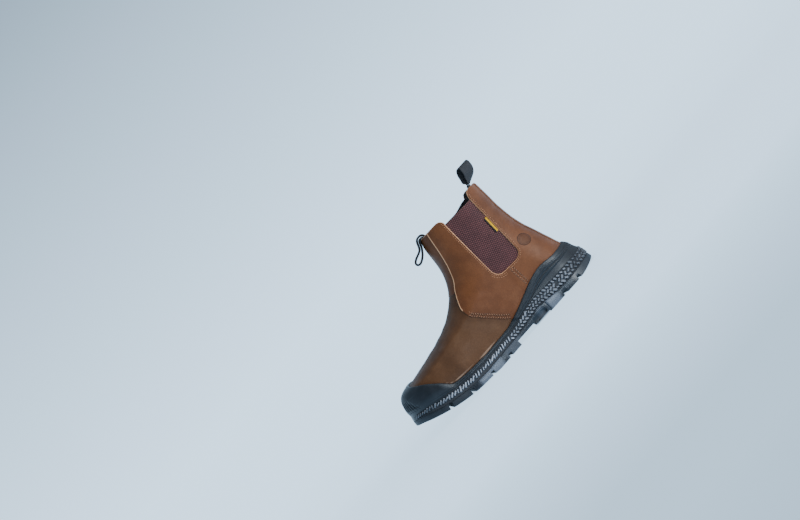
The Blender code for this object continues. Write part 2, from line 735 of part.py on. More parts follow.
def make_front_loop(collection, look):
    """Ribbon that comes out of the front of the collar and hangs forward over its edge."""
    stations = list(range(len(FRONT_LINE)))
    x_at = smooth_curve(stations, [x for x, _ in FRONT_LINE])
    z_at = smooth_curve(stations, [z for _, z in FRONT_LINE])
    gap_at = smooth_curve([s for s, _ in FRONT_HALF_GAP], [g for _, g in FRONT_HALF_GAP])
    end = stations[-1]
    stops = [k / FRONT_STEPS for k in range(end * FRONT_STEPS)]
    stops += [FRONT_HALF_GAP[-1][0]]
    path = [(stop, gap_at(stop)) for stop in stops]
    path += [(end, 0.0)]
    path += [(stop, -gap_at(stop)) for stop in reversed(stops)]
    rows = []
    for stop, offset in path:
        before, after = max(stop - 0.1, 0.0), min(stop + 0.1, end)
        along = Vector((x_at(after) - x_at(before), 0.0, z_at(after) - z_at(before)))
        away = along.cross(Vector((0.0, 1.0, 0.0))).normalized()
        centre = Vector((x_at(stop), 0.0, z_at(stop))) + away * offset
        sides = (-LOOP_HALF_WIDE, 0.0, LOOP_HALF_WIDE)
        rows.append([centre + Vector((0.0, side, 0.0)) for side in sides])
    return shell("front_loop", rows, LOOP_THICK, collection, look)


def make_insole(collection, look):
    low, high = [], []
    for j in range(AROUND):
        at = on_upper(INSOLE_LEVEL, j, -WALL - INSOLE_ROOM)
        floor = side_height("footbed", at.x) + GAP
        low.append(Vector((at.x, at.y, floor)))
        high.append(Vector((at.x, at.y, floor + INSOLE_THICK)))
    return loft("insole", [low, high], collection, look)


def new_collection(name):
    made = bpy.data.collections.new(name)
    bpy.context.scene.collection.children.link(made)
    return made


def main():
    for obj in list(bpy.data.objects):
        bpy.data.objects.remove(obj, do_unlink=True)
    boot = new_collection("slip_on_boot")
    cutters = new_collection("cutters")
    rubber = material("outsole rubber", (0.03, 0.03, 0.035), 0.6)
    band = material("midsole rubber", (0.02, 0.022, 0.026), 0.45)
    foam = material("insole cloth", (0.03, 0.03, 0.03), 0.9)
    leather = material("upper leather", (0.19, 0.085, 0.04), 0.5)
    strip = material("back strip leather", (0.2, 0.09, 0.045), 0.5)
    elastic = material("gusset elastic", (0.05, 0.018, 0.022), 0.9)
    webbing = material("pull loop webbing", (0.012, 0.012, 0.014), 0.8)
    flag = material("label cloth", (0.7, 0.45, 0.04), 0.7)
    make_outsole(boot, cutters, rubber)
    make_midsole(boot, band)
    make_insole(boot, foam)
    make_upper(boot, leather)
    make_gusset("gusset_lateral", True, boot, elastic)
    make_gusset("gusset_medial", False, boot, elastic)
    make_back_strip(boot, strip)
    make_pull_loop(boot, webbing)
    make_front_loop(boot, webbing)
    make_label(boot, flag)
    hide_cutters(cutters)


main()
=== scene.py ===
"""Slip-on work boot with elastic side panels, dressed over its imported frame.

Tables and sizes are in millimetres, with x counted from the back of the sole, as in the part's
source. place() turns them into the frame's metres. Level runs from the feather line (0) to the
collar (12), and turn goes once round the boot: 0 at the back, 1 at the front, outer side first.
"""

import math
from collections import namedtuple

import bmesh
import bpy
import numpy as np
from bpy.props import FloatProperty, FloatVectorProperty, PointerProperty
from mathutils import Matrix, Vector
from mathutils.geometry import delaunay_2d_cdt


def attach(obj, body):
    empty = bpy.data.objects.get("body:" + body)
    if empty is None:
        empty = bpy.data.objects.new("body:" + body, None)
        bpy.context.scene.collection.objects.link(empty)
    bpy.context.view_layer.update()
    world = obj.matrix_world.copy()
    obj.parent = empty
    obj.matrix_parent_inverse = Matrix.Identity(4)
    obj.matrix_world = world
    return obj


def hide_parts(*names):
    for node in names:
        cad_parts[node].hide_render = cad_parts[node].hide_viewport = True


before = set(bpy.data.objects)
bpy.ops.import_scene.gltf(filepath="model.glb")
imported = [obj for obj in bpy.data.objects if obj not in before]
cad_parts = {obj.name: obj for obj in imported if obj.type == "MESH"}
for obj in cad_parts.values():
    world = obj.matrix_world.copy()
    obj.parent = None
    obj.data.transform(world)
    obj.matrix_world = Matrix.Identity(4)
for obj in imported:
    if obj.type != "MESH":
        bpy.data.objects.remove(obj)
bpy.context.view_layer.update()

bl_info = {
    "name": "Slip-on Work Boot",
    "version": (1, 0, 0),
    "blender": (4, 5, 0),
    "location": "View3D > Sidebar > Boot",
    "description": "Builds the dressed pieces of a slip-on work boot over its solids",
    "category": "Object",
}

MM = 0.001
SOLE_LENGTH = 306.0
MIDDLE_X, MIDDLE_Y = 153.35, -4.7
QUARTER_STEP, FRONT_STEP, WALL = 1.3, 0.45, 2.2
BOTH_SIDES = (("lateral", True), ("medial", False))
TOE_SHIFT, BEND_START = 8.0, 110.0
HEEL_AT, WAIST_AT, BALL_AT = 0.16, 0.42, 0.69
QUARTER_LEAD, QUARTER_FADE = 2.0, 5.0
LEVEL_STEP, TURN_STEP, HALVINGS = 0.03, 0.003, 30

Section = namedtuple(
    "Section",
    "back_x back_z front_x front_z heel waist_out waist_in ball_out ball_in"
    " back_round front_round sag quarter_x",
)
SECTIONS = [
    Section(14.5, 33.0, 297.0, 38.0, 34.0, 36.0, 29.0, 48.0, 46.5, 36, 60, 1.00, 121.0),
    Section(15.3, 42.0, 298.4, 45.5, 35.5, 38.0, 33.5, 50.0, 49.0, 37, 62, 0.50, 134.5),
    Section(17.2, 49.0, 296.8, 54.5, 36.0, 38.0, 35.5, 47.0, 46.0, 37, 60, 0.25, 143.5),
    Section(18.5, 54.0, 291.0, 61.8, 36.0, 38.0, 36.5, 42.5, 42.0, 37, 56, 0.08, 150.5),
    Section(19.6, 58.5, 268.0, 66.3, 35.8, 38.0, 37.0, 40.5, 39.5, 37, 62, 0.00, 154.5),
    Section(21.0, 64.0, 232.0, 72.0, 35.5, 38.0, 37.0, 39.5, 38.5, 37, 66, 0.00, 159.4),
    Section(22.5, 70.0, 191.0, 82.6, 35.0, 38.0, 37.5, 39.0, 38.0, 37, 62, 0.00, 160.0),
    Section(25.5, 82.0, 158.5, 102.5, 35.0, 38.0, 37.5, 38.5, 38.0, 37, 56, 0.00, 148.5),
    Section(29.4, 96.0, 148.0, 115.0, 35.0, 38.5, 38.0, 38.0, 37.5, 37, 50, 0.00, 138.5),
    Section(31.9, 114.0, 140.0, 132.0, 35.5, 39.0, 38.5, 37.5, 37.0, 37, 46, 0.00, 130.4),
    Section(32.5, 135.0, 136.0, 150.0, 35.5, 39.5, 39.0, 37.0, 37.0, 36, 44, 0.00, 124.8),
    Section(31.3, 157.0, 133.4, 164.0, 36.0, 39.5, 39.5, 37.0, 37.0, 36, 43, 0.00, 121.0),
    Section(30.6, 175.5, 128.6, 177.0, 36.0, 39.5, 39.5, 37.0, 37.0, 36, 42, 0.00, 117.4),
]
GUSSET_LEVEL, THROAT_LEVEL, COLLAR_LEVEL = 6.0, 7.0, 12.0
COLLAR_RISE = 17.0  # millimetres a level at the collar

GUSSET_REAR_BASE, GUSSET_REAR_TOP = 59.5, 50.5
GUSSET_FRONT_BASE, GUSSET_FRONT_TOP = 101.0, 94.5
GUSSET_CORNER, GUSSET_TOP_LEVEL = 11.0, 11.36
GUSSET_SINK, GUSSET_THICK = 0.6, 1.5

Side = namedtuple("Side", "x bottom joint texture groove rim footbed margin")
SIDES = [
    Side(0.0, 6.0, 11.0, 22.5, 34.0, 43.0, 33.0, 14.0),
    Side(14.0, 4.2, 10.6, 24.0, 35.0, 43.0, 33.0, 13.7),
    Side(33.0, 0.0, 10.2, 25.2, 36.5, 43.6, 33.0, 8.0),
    Side(57.0, 0.0, 10.3, 25.8, 38.8, 47.4, 32.6, 6.4),
    Side(73.0, 0.0, 11.8, 26.3, 36.4, 45.2, 31.4, 6.4),
    Side(95.0, 0.0, 15.2, 27.6, 29.8, 38.4, 28.0, 6.6),
    Side(118.0, 0.0, 13.0, 23.4, 24.4, 31.2, 23.8, 6.8),
    Side(143.0, 0.0, 10.8, 19.8, 20.6, 25.6, 20.2, 7.0),
    Side(179.0, 0.0, 10.2, 19.4, 20.2, 25.0, 18.5, 7.2),
    Side(192.0, 1.5, 10.0, 19.8, 20.6, 26.0, 18.6, 7.3),
    Side(216.0, 3.6, 11.6, 21.6, 22.4, 28.2, 20.6, 7.6),
    Side(232.0, 6.2, 14.2, 24.0, 25.0, 31.2, 22.9, 7.8),
    Side(246.0, 9.6, 17.4, 27.2, 29.0, 45.0, 25.6, 8.0),
    Side(260.0, 13.8, 21.2, 30.8, 33.0, 56.5, 28.8, 8.2),
    Side(277.0, 19.6, 27.2, 35.8, 38.0, 65.0, 33.0, 8.6),
    Side(290.0, 24.0, 31.4, 37.6, 40.5, 72.0, 36.2, 8.8),
    Side(306.0, 26.0, 33.5, 38.2, 41.5, 80.0, 40.2, 9.0),
]
RIM_SIDE, RIM_TOE = 2.2, 3.0
TOE_FROM, TOE_TO = 234.0, 272.0
BAND_INSET, GROOVE_DEPTH, PANEL_HOLLOW = 0.9, 1.2, 0.10
BAND_END, BAND_FADE = 286.0, 8.0
GROOVE_BELOW, GROOVE_CLEAR, GROOVE_WIDE = 1.0, 0.4, 1.8
LUG_FOOT, LUG_TOP, EDGE_IN, EDGE_UP, GAP = 1.2, 0.4, 0.8, 1.2, 0.4
INSOLE_THICK, INSOLE_LEVEL, INSOLE_ROOM = 4.0, 0.08, 0.9

GROOVE_RISE, MIDDLE_RISE, GROOVE_SWEEP, MIDDLE_GROOVE = 4.4, 4.2, 0.20, 4.0
CUTTER_TALL, CUTTER_WIDE, CHEVRON_TIP, CHEVRON_CROSS = 16.0, 160.0, 11.0, 1.5
CHEVRONS = [
    (29.5, 5.0, 64.0), (56.0, 6.5, 64.0), (159.0, 5.0, 64.0), (191.5, 4.5, 64.0),
    (225.0, 5.0, 64.0), (257.0, 5.0, 64.0), (43.0, 3.5, 27.0), (71.0, 3.5, 27.0),
    (177.0, 4.0, 34.0), (208.5, 4.0, 37.0), (241.5, 4.0, 34.0), (272.0, 4.0, 22.0),
]
MIDDLE_GROOVES = [(35.0, 83.0), (147.0, 188.0), (186.0, 224.0), (222.0, 256.0), (254.0, 284.0)]
ARCH_CUTS = [(87.5, 114.0, 2.4), (113.0, 142.5, 6.2)]
RECESS_X, RECESS_Z, RECESS_LONG, RECESS_TALL, RECESS_DEEP = 101.0, 6.9, 23.0, 6.8, 4.0
RECESS_POINTS = 32
SHANK_LINE_X, SHANK_LINE_WIDE, SHANK_LINE_DEEP, SHANK_LINE_STOP = 85.4, 1.4, 1.3, 1.2

BACK_STRIP_HALF = 12.0
LABEL_CLEAR, LABEL_WIDE, LABEL_LOW, LABEL_HIGH = 0.4, 4.2, 114.0, 136.0
LOOP_HALF_WIDE, LOOP_THICK, LOOP_TWIST = 9.5, 1.8, math.radians(62)
LOOP_LINE = [
    (158.0, 38.3), (172.0, 37.7), (177.5, 36.8), (180.5, 34.0), (185.0, 29.4), (190.0, 26.4),
    (196.0, 24.6), (201.0, 22.8),
]
LOOP_HALF_GAP = [(0.0, 0.3), (0.50, 0.3), (0.64, 4.2), (0.80, 6.2), (0.92, 5.2), (0.98, 2.8)]
LOOP_TURN_LOW, LOOP_TURN_HIGH = 176.2, 188.5
FRONT_LINE = [
    (122.4, 160.5), (122.4, 168.0), (122.4, 175.0), (123.1, 178.4), (125.6, 180.0),
    (128.9, 179.9), (131.6, 178.0), (133.6, 174.3), (136.2, 169.8), (141.0, 165.6),
    (147.3, 162.4), (153.4, 159.8),
]
FRONT_HALF_GAP = [(0.0, 0.25), (8.2, 0.25), (9.2, 1.4), (10.2, 2.4), (10.7, 1.9), (10.95, 0.8)]

# Soft creases of the leather: a line in the side view (x, z) or the top view (x, y).
Crease = namedtuple("Crease", "view x0 v0 x1 v1 width depth")
CREASE_OVER, CREASE_FADE, RIDGE, RIDGE_AWAY = 0.1, 0.35, 0.55, 1.9
CREASE_OFF_MIDDLE, CREASE_ABOVE, CREASE_RISE = 12.0, 58.0, 10.0
CREASES = [
    Crease("side", 150.0, 92.0, 118.0, 78.0, 5.0, 0.55),
    Crease("side", 143.0, 104.0, 112.0, 93.0, 6.0, 0.40),
    Crease("side", 172.0, 74.0, 150.0, 52.0, 7.0, 0.45),
    Crease("side", 30.0, 104.0, 48.0, 98.0, 5.0, 0.35),
    Crease("side", 62.0, 66.0, 100.0, 62.0, 8.0, 0.35),
    Crease("top", 196.0, 26.0, 203.0, -30.0, 5.5, 0.45),
    Crease("top", 213.0, 34.0, 219.0, -36.0, 6.5, 0.40),
    Crease("top", 183.0, 18.0, 187.0, -20.0, 5.0, 0.35),
]


def even_slope(before, after):
    """Slope between two rises that keeps a cubic from overshooting."""
    level = before * after <= 0
    total = np.where(level, 1.0, before + after)
    return np.where(level, 0.0, 2 * before * after / total)


def cubic(value_0, value_1, slope_0, slope_1, gap, t):
    """Cubic between two values with two slopes, at shares t of the gap between them."""
    start = value_0 * (1 + 2 * t) + slope_0 * gap * t
    end = value_1 * (3 - 2 * t) - slope_1 * gap * (1 - t)
    return start * (1 - t) ** 2 + end * t * t


class Curve:
    """Monotone cubic through values at stations, for arrays of places."""

    def __init__(self, stations, values):
        self.at = np.array(stations, float)
        self.value = np.array(values, float)
        self.gap = np.diff(self.at)
        rise = np.diff(self.value) / self.gap
        self.slope = np.concatenate([rise[:1], even_slope(rise[:-1], rise[1:]), rise[-1:]])

    def __call__(self, place):
        i = np.searchsorted(self.at, place, "right") - 1
        i = np.clip(i, 0, len(self.gap) - 1)
        t = np.clip((place - self.at[i]) / self.gap[i], 0.0, 1.0)
        values, slopes = (self.value[i], self.value[i + 1]), (self.slope[i], self.slope[i + 1])
        return cubic(*values, *slopes, self.gap[i], t)


def curves_of(rows, stations):
    """One smooth curve for each named column of a table."""
    return {n: Curve(stations, [getattr(r, n) for r in rows]) for n in rows[0]._fields}


SECTION_CURVES = curves_of(SECTIONS, range(len(SECTIONS)))
SIDE_CURVES = curves_of(SIDES, [row.x for row in SIDES])


def ease(t):
    t = np.clip(t, 0.0, 1.0)
    return t * t * (3 - 2 * t)


def mix(a, b, t):
    return a + (b - a) * t


def unit(v):
    return v / np.maximum(np.linalg.norm(v, axis=-1, keepdims=True), 1e-12)


def stack(x, y, z):
    return np.stack(np.broadcast_arrays(x, y, z), axis=-1).astype(float)


def travelled(points, axis=0):
    """Length gone along rows of points."""
    steps = np.diff(points, axis=axis, prepend=np.take(points, [0], axis))
    return np.cumsum(np.linalg.norm(steps, axis=-1), axis=axis)


def section(level):
    return Section(*(SECTION_CURVES[name](level) for name in Section._fields))


def side_height(name, x):
    return SIDE_CURVES[name](x)


def centre_line(x):
    return -TOE_SHIFT * ease((x - BEND_START) / (SOLE_LENGTH - BEND_START))


def rounded_end(distance, reach):
    part = np.clip(1 - distance / reach, 0.0, 1.0)
    return np.sqrt(np.maximum(0.0, 1 - part ** 2))


def half_width(share, heel, waist, ball):
    """Monotone cubic through the half widths at heel, waist and ball."""
    first, second = WAIST_AT - HEEL_AT, BALL_AT - WAIST_AT
    rise_1, rise_2 = (waist - heel) / first, (ball - waist) / second
    slope = even_slope(rise_1, rise_2)
    low = share < WAIST_AT
    gap = np.where(low, first, second)
    t = np.clip((share - np.where(low, HEEL_AT, WAIST_AT)) / gap, 0.0, 1.0)
    widths = np.where(low, heel, waist), np.where(low, waist, ball)
    slopes = np.where(low, rise_1, slope), np.where(low, slope, rise_2)
    return cubic(*widths, *slopes, gap, t)


def skin(level, x, outer):
    """Points of the vamp surface at x on sections, on the outer or the inner side."""
    row = section(level)
    length = row.front_x - row.back_x
    share = np.clip((x - row.back_x) / length, 0.0, 1.0)
    waist = np.where(outer, row.waist_out, row.waist_in)
    ball = np.where(outer, row.ball_out, row.ball_in)
    half = half_width(share, row.heel, waist, ball)
    half = half * rounded_end(share * length, row.back_round)
    half = half * rounded_end((1 - share) * length, row.front_round)
    first = SECTIONS[0]
    run = (x - first.back_x) / (first.front_x - first.back_x)
    flat = mix(first.back_z, first.front_z, run)
    z = mix(row.back_z, row.front_z, share) + row.sag * (side_height("footbed", x) - flat)
    y = centre_line(x) + np.where(outer, half, -half)
    return stack(x, y, z)


def x_at(level, turn):
    row = section(level)
    return row.back_x + (row.front_x - row.back_x) * (1 - np.cos(np.pi * turn)) / 2


def turn_at(level, x, outer):
    row = section(level)
    share = np.clip((x - row.back_x) / (row.front_x - row.back_x), 0.0, 1.0)
    turn = np.arccos(1 - 2 * share) / np.pi
    return np.where(outer, turn, 2 - turn)


def on_last(level, turn):
    """Points of the vamp surface by level and turn."""
    turn = np.mod(turn, 2.0)
    return skin(level, x_at(level, turn), turn <= 1.0)


def out_of(level, turn):
    """Directions out of the vamp surface."""
    up = on_last(np.minimum(level + LEVEL_STEP, COLLAR_LEVEL), turn)
    up = up - on_last(np.maximum(level - LEVEL_STEP, 0.0), turn)
    along = on_last(level, turn + TURN_STEP) - on_last(level, turn - TURN_STEP)
    return unit(np.cross(up, along))


def lifted(level, turn, lift):
    """Points at a height over the vamp surface."""
    level, turn, lift = np.broadcast_arrays(level, turn, lift)
    return on_last(level, turn) + out_of(level, turn) * lift[..., None]


def crossing(under, shape, top):
    """Level between 0 and top up to which a test holds."""
    low, high = np.zeros(shape), np.full(shape, top)
    for _ in range(HALVINGS):
        level = (low + high) / 2
        below = under(level)
        low, high = np.where(below, level, low), np.where(below, high, level)
    return (low + high) / 2


def quarter_share(level, turn):
    """1 under the quarters, 0 in front of them, with a soft change at their edge."""
    x = x_at(level, np.mod(turn, 2.0))
    return 1 - ease((x - section(level).quarter_x + QUARTER_LEAD) / QUARTER_FADE)


def crease_lift(points):
    """Soft troughs, with a low ridge beside each, at points of the leather."""
    lift = np.zeros(points.shape[:-1])
    for row in CREASES:
        other = points[..., 2] if row.view == "side" else points[..., 1]
        run, rise = row.x1 - row.x0, row.v1 - row.v0
        length = math.hypot(run, rise)
        dx, dv = points[..., 0] - row.x0, other - row.v0
        along = (dx * run + dv * rise) / length ** 2
        across = (dv * run - dx * rise) / length
        fade = ease((along + CREASE_OVER) / CREASE_FADE)
        fade = fade * ease((1 + CREASE_OVER - along) / CREASE_FADE)
        if row.view == "side":
            off = np.abs(points[..., 1] - centre_line(points[..., 0]))
            fade = fade * (off > CREASE_OFF_MIDDLE)
        else:
            fade = fade * ease((points[..., 2] - CREASE_ABOVE) / CREASE_RISE)
        trough = np.exp(-((across / row.width) ** 2))
        ridge = np.exp(-((across / row.width - RIDGE_AWAY) ** 2))
        lift += row.depth * fade * (RIDGE * ridge - trough)
    return lift


def unevenness(points):
    """The slow waves of leather pulled over a last by hand."""
    x, y, z = points[..., 0], points[..., 1], points[..., 2]
    waves = np.sin(0.083 * x + 0.061 * z + 0.9) * np.sin(0.071 * z - 0.045 * x + 0.03 * y)
    small = np.sin(0.19 * x - 0.13 * z + 2.1) * np.sin(0.16 * z + 0.11 * x + 0.09 * y)
    return 0.16 * waves + 0.07 * small


def leather(level, turn, lift):
    """Points over the vamp surface with the leather's creases."""
    level, turn, lift = np.broadcast_arrays(level, turn, lift)
    points = on_last(level, turn)
    relief = crease_lift(points) + unevenness(points)
    return points + out_of(level, turn) * (lift + relief)[..., None]


def place(points):
    return (np.asarray(points, float) - (MIDDLE_X, MIDDLE_Y, 0.0)) * MM


def gusset_edges(level):
    """x of the rear and front edge of the elastic panel, with its rounded lower corners."""
    middle = (GUSSET_REAR_BASE + GUSSET_FRONT_BASE) / 2
    base = skin(GUSSET_LEVEL, middle, True)[..., 2]
    height = skin(level, middle, True)[..., 2] - base
    full = skin(COLLAR_LEVEL, middle, True)[..., 2] - base
    rear = mix(GUSSET_REAR_BASE, GUSSET_REAR_TOP, height / full)
    front = mix(GUSSET_FRONT_BASE, GUSSET_FRONT_TOP, height / full)
    drop = np.clip(GUSSET_CORNER - height, 0.0, GUSSET_CORNER)
    corner = GUSSET_CORNER - np.sqrt(GUSSET_CORNER ** 2 - drop ** 2)
    return rear + corner, front - corner


def link(name, data):
    """New object at the origin, in the scene."""
    obj = bpy.data.objects.new(name, data)
    bpy.context.scene.collection.objects.link(obj)
    return obj


def keep_values(mesh, name, values, kind="FLOAT"):
    """Keeps a value for each point on the mesh."""
    attribute = mesh.attributes.new(name, kind, "POINT")
    field = "value" if kind == "FLOAT" else "vector"
    attribute.data.foreach_set(field, np.asarray(values, np.float32).ravel())


def new_piece(name, points, faces, look, smooth=True, uv=None, **values):
    """Mesh object from points in millimetres, with values kept on its points."""
    mesh = bpy.data.meshes.new(name)
    mesh.from_pydata(place(points).tolist(), [], [tuple(face) for face in faces])
    mesh.polygons.foreach_set("use_smooth", np.full(len(mesh.polygons), smooth))
    if uv is not None:
        corners = np.zeros(len(mesh.loops), int)
        mesh.loops.foreach_get("vertex_index", corners)
        surface = mesh.uv_layers.new(name="surface")
        surface.data.foreach_set("uv", (uv[corners] * MM).astype(np.float32).ravel())
    for layer, kept in values.items():
        keep_values(mesh, layer, kept)
    mesh.materials.append(look)
    return link(name, mesh)


def finish_piece(obj, slot, *nodes):
    """Rides the piece on the boot and hides the solids it stands for; its slot is not used."""
    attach(obj, "root")
    if nodes:
        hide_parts(*nodes)


def grid_faces(rows, columns, start=0, wrap=False, flip=False):
    """Quads of a grid of points; unflipped, they face out when rows go up and columns along."""
    across = np.arange(columns if wrap else columns - 1)
    i, j = np.meshgrid(np.arange(rows - 1), across, indexing="ij")
    k = (j + 1) % columns
    low, high = i * columns, (i + 1) * columns
    quads = np.stack([low + j, high + j, high + k, low + k], axis=-1).reshape(-1, 4) + start
    return quads[:, ::-1] if flip else quads


def closed_sheet(outer, inner):
    """Points and faces of a sheet between two grids, closed round its edges."""
    rows, columns = outer.shape[:2]
    back = rows * columns
    points = np.concatenate([outer.reshape(-1, 3), inner.reshape(-1, 3)])
    faces = [grid_faces(rows, columns), grid_faces(rows, columns, back, flip=True)]
    index = np.arange(back).reshape(rows, columns)
    ring = np.concatenate([index[0, :-1], index[:-1, -1], index[-1, :0:-1], index[:0:-1, 0]])
    after = np.roll(ring, -1)
    faces.append(np.stack([ring, after, after + back, ring + back], axis=-1))
    return points, np.concatenate(faces)


def add_sheet(name, outer, inner, look, slot, node, uv=None, under=1.0, **values):
    """Finished piece between two grids; values of the outside stay inside too, times under."""
    points, faces = closed_sheet(outer, inner)
    if uv is not None:
        uv = np.tile(uv.reshape(-1, 2), (2, 1))
    kept = {layer: np.concatenate([v.ravel(), under * v.ravel()]) for layer, v in values.items()}
    finish_piece(new_piece(name, points, faces, look, uv=uv, **kept), slot, node)


class Tree:
    """A node tree in the making."""

    def __init__(self, tree):
        self.tree = tree

    def feed(self, socket, value):
        """Links an output to the socket, or sets a plain value on it."""
        if isinstance(value, bpy.types.NodeSocket):
            self.tree.links.new(value, socket)
        else:
            socket.default_value = value

    def node(self, kind, settings=None, **inputs):
        """New node with its inputs by name, with _ for a space, or by number: i0 is the first."""
        made = self.tree.nodes.new(kind)
        for name, value in (settings or {}).items():
            setattr(made, name, value)
        for name, value in inputs.items():
            key = int(name[1:]) if name[1:].isdigit() else name.replace("_", " ")
            self.feed(made.inputs[key], value)
        return made

    def math(self, operation, a, b=0.0):
        return self.node("ShaderNodeMath", {"operation": operation}, i0=a, i1=b).outputs["Value"]

    def times(self, a, b):
        return self.math("MULTIPLY", a, b)

    def plus(self, a, b):
        return self.math("ADD", a, b)

    def span(self, value, low, high, to_low=0.0, to_high=1.0):
        """The value's run from low to high, carried over to another run."""
        made = self.node("ShaderNodeMapRange", i0=value, i1=low, i2=high, i3=to_low, i4=to_high)
        return made.outputs["Result"]

    def split(self, vector):
        return self.node("ShaderNodeSeparateXYZ", Vector=vector).outputs

    def vector(self, operation, *inputs):
        numbered = {f"i{k}": value for k, value in enumerate(inputs)}
        return self.node("ShaderNodeVectorMath", {"operation": operation}, **numbered).outputs


class Look(Tree):
    """A procedural material in the making."""

    def __init__(self, name):
        self.material = bpy.data.materials.new(name)
        self.material.use_nodes = True
        super().__init__(self.material.node_tree)
        self.shader = self.tree.nodes["Principled BSDF"]

    def coords(self):
        return self.node("ShaderNodeTexCoord").outputs["Object"]

    def surface(self):
        """Both directions of the piece's own surface map."""
        return self.split(self.node("ShaderNodeUVMap", {"uv_map": "surface"}).outputs["UV"])

    def attribute(self, name):
        return self.node("ShaderNodeAttribute", {"attribute_name": name}).outputs["Fac"]

    def noise(self, coords, scale, detail=3.0):
        inputs = {"Vector": coords, "Scale": scale, "Detail": detail, "Roughness": 0.55}
        return self.node("ShaderNodeTexNoise", **inputs).outputs["Fac"]

    def cells(self, coords, scale):
        return self.node("ShaderNodeTexVoronoi", Vector=coords, Scale=scale).outputs["Distance"]

    def waves(self, along, pitch):
        """Sine waves along a direction of the surface map, with their pitch in millimetres."""
        return self.math("SINE", self.times(along, 2 * math.pi / (pitch * MM)))

    def blend(self, share, first, second, kind="MIX"):
        made = self.node("ShaderNodeMix", {"data_type": "RGBA", "blend_type": kind}, i0=share)
        # The node's sockets for colours come after those for numbers and vectors.
        for socket, colour in ((made.inputs[6], first), (made.inputs[7], second)):
            self.feed(socket, colour if isinstance(colour, bpy.types.NodeSocket) else (*colour, 1.0))
        return made.outputs[2]

    def bump(self, height, strength, distance, **below):
        made = self.node("ShaderNodeBump", Height=height, Strength=strength, Distance=distance, **below)
        return made.outputs["Normal"]

    def use(self, **inputs):
        """Sets or feeds the shader's inputs and gives the material."""
        for name, value in inputs.items():
            socket = name.replace("_", " ").title().replace("Ior", "IOR")
            self.feed(self.shader.inputs[socket], value)
        return self.material


def shade(colour, times, plus=0.0):
    """A colour made paler or darker."""
    return tuple(min(1.0, times * c + plus) for c in colour)


# Scales of the materials' noise and cells, for coordinates in metres.
LEATHER_CLOUD, LEATHER_PATCH, LEATHER_GRAIN, LEATHER_PORE = 22.0, 75.0, 950.0, 2100.0
CLOTH_FUZZ, KNIT_FUZZ, KNIT_PATCH, LABEL_FUZZ, THREAD_TWIST = 1400.0, 1300.0, 55.0, 900.0, 1800.0


def leather_look(name, tone, raw_edge, tint=(1.0, 1.0, 1.0)):
    """Waxed pull-up leather: mottled brown, fine grain, paler raw edges."""
    look = Look(name)
    dark, colour, pale = (tuple(np.multiply(c, tint)) for c in (tone.dark, tone.colour, tone.pale))
    at = look.coords()
    cloud, patch = look.noise(at, LEATHER_CLOUD), look.noise(at, LEATHER_PATCH, 4.0)
    grain, pores = look.cells(at, LEATHER_GRAIN), look.noise(at, LEATHER_PORE, 2.0)
    base = look.blend(look.span(cloud, 0.35, 0.68), dark, colour)
    base = look.blend(look.span(patch, 0.45, 0.75, 0.0, 0.35), base, pale)
    base = look.blend(look.span(grain, 0.1, 0.75, 0.22, 0.0), base, dark, "MULTIPLY")
    if raw_edge:
        pressed = look.span(look.attribute("press"), 0.1, 1.0, 0.0, 0.95)
        base = look.blend(pressed, base, dark, "MULTIPLY")
        base = look.blend(look.span(look.attribute("cut"), 0.5, 1.1, 0.92, 0.0), base, tone.raw)
    else:
        # Painted highlight: a pale line on the vamp a little above the rubber.
        rubbed = look.span(look.attribute("rubbed"), 0.2, 0.9, 0.0, 0.6)
        base = look.blend(rubbed, base, tone.rubbed)
    rough = look.span(patch, 0.3, 0.75, tone.roughness + 0.08, tone.roughness - 0.06)
    normal = look.bump(patch, 0.25, 0.0012)
    normal = look.bump(grain, 0.22, 0.00035, Normal=normal)
    normal = look.bump(pores, 0.12, 0.0002, Normal=normal)
    return look.use(
        base_color=base, roughness=rough, normal=normal,
        specular_ior_level=0.15, coat_weight=0.03, coat_roughness=0.4,
    )


RUBBER_BACK, RUBBER_TOE = -0.116, 0.098
RUBBER_BLOOM, SCUFF_STREAKS, SCUFF_PALE, WORN_PALE = 60.0, (45.0, 45.0, 700.0), 4.0, 7.0

# Stretches along the boot, from and to in millimetres from the heel, with how much they change: paler
# stretches of the tread and the chips are painted highlights, dull ones get rougher.
TREAD_WORN = ((64.0, 87.0, 1.0), (90.0, 104.0, 0.4), (170.0, 212.0, 1.1), (134.0, 168.0, 0.3))
TREAD_DULL = ((134.0, 168.0, 0.22), (226.0, 312.0, 0.3))
CHIP_WORN = ((34.0, 274.0, 0.18), (104.0, 266.0, 0.1), (140.0, 252.0, 0.36))
STRETCH_FADE = 5.0


def stretches(look, x, rows):
    """Sum of the shares of the stretches that a place lies in."""
    total = None
    fade = STRETCH_FADE * MM
    for start, end, share in rows:
        start, end = (start - MIDDLE_X) * MM, (end - MIDDLE_X) * MM
        rise = look.span(x, start, start + fade, 0.0, share)
        share = look.times(rise, look.span(x, end - fade, end, 1.0, 0.0))
        total = share if total is None else look.plus(total, share)
    return total


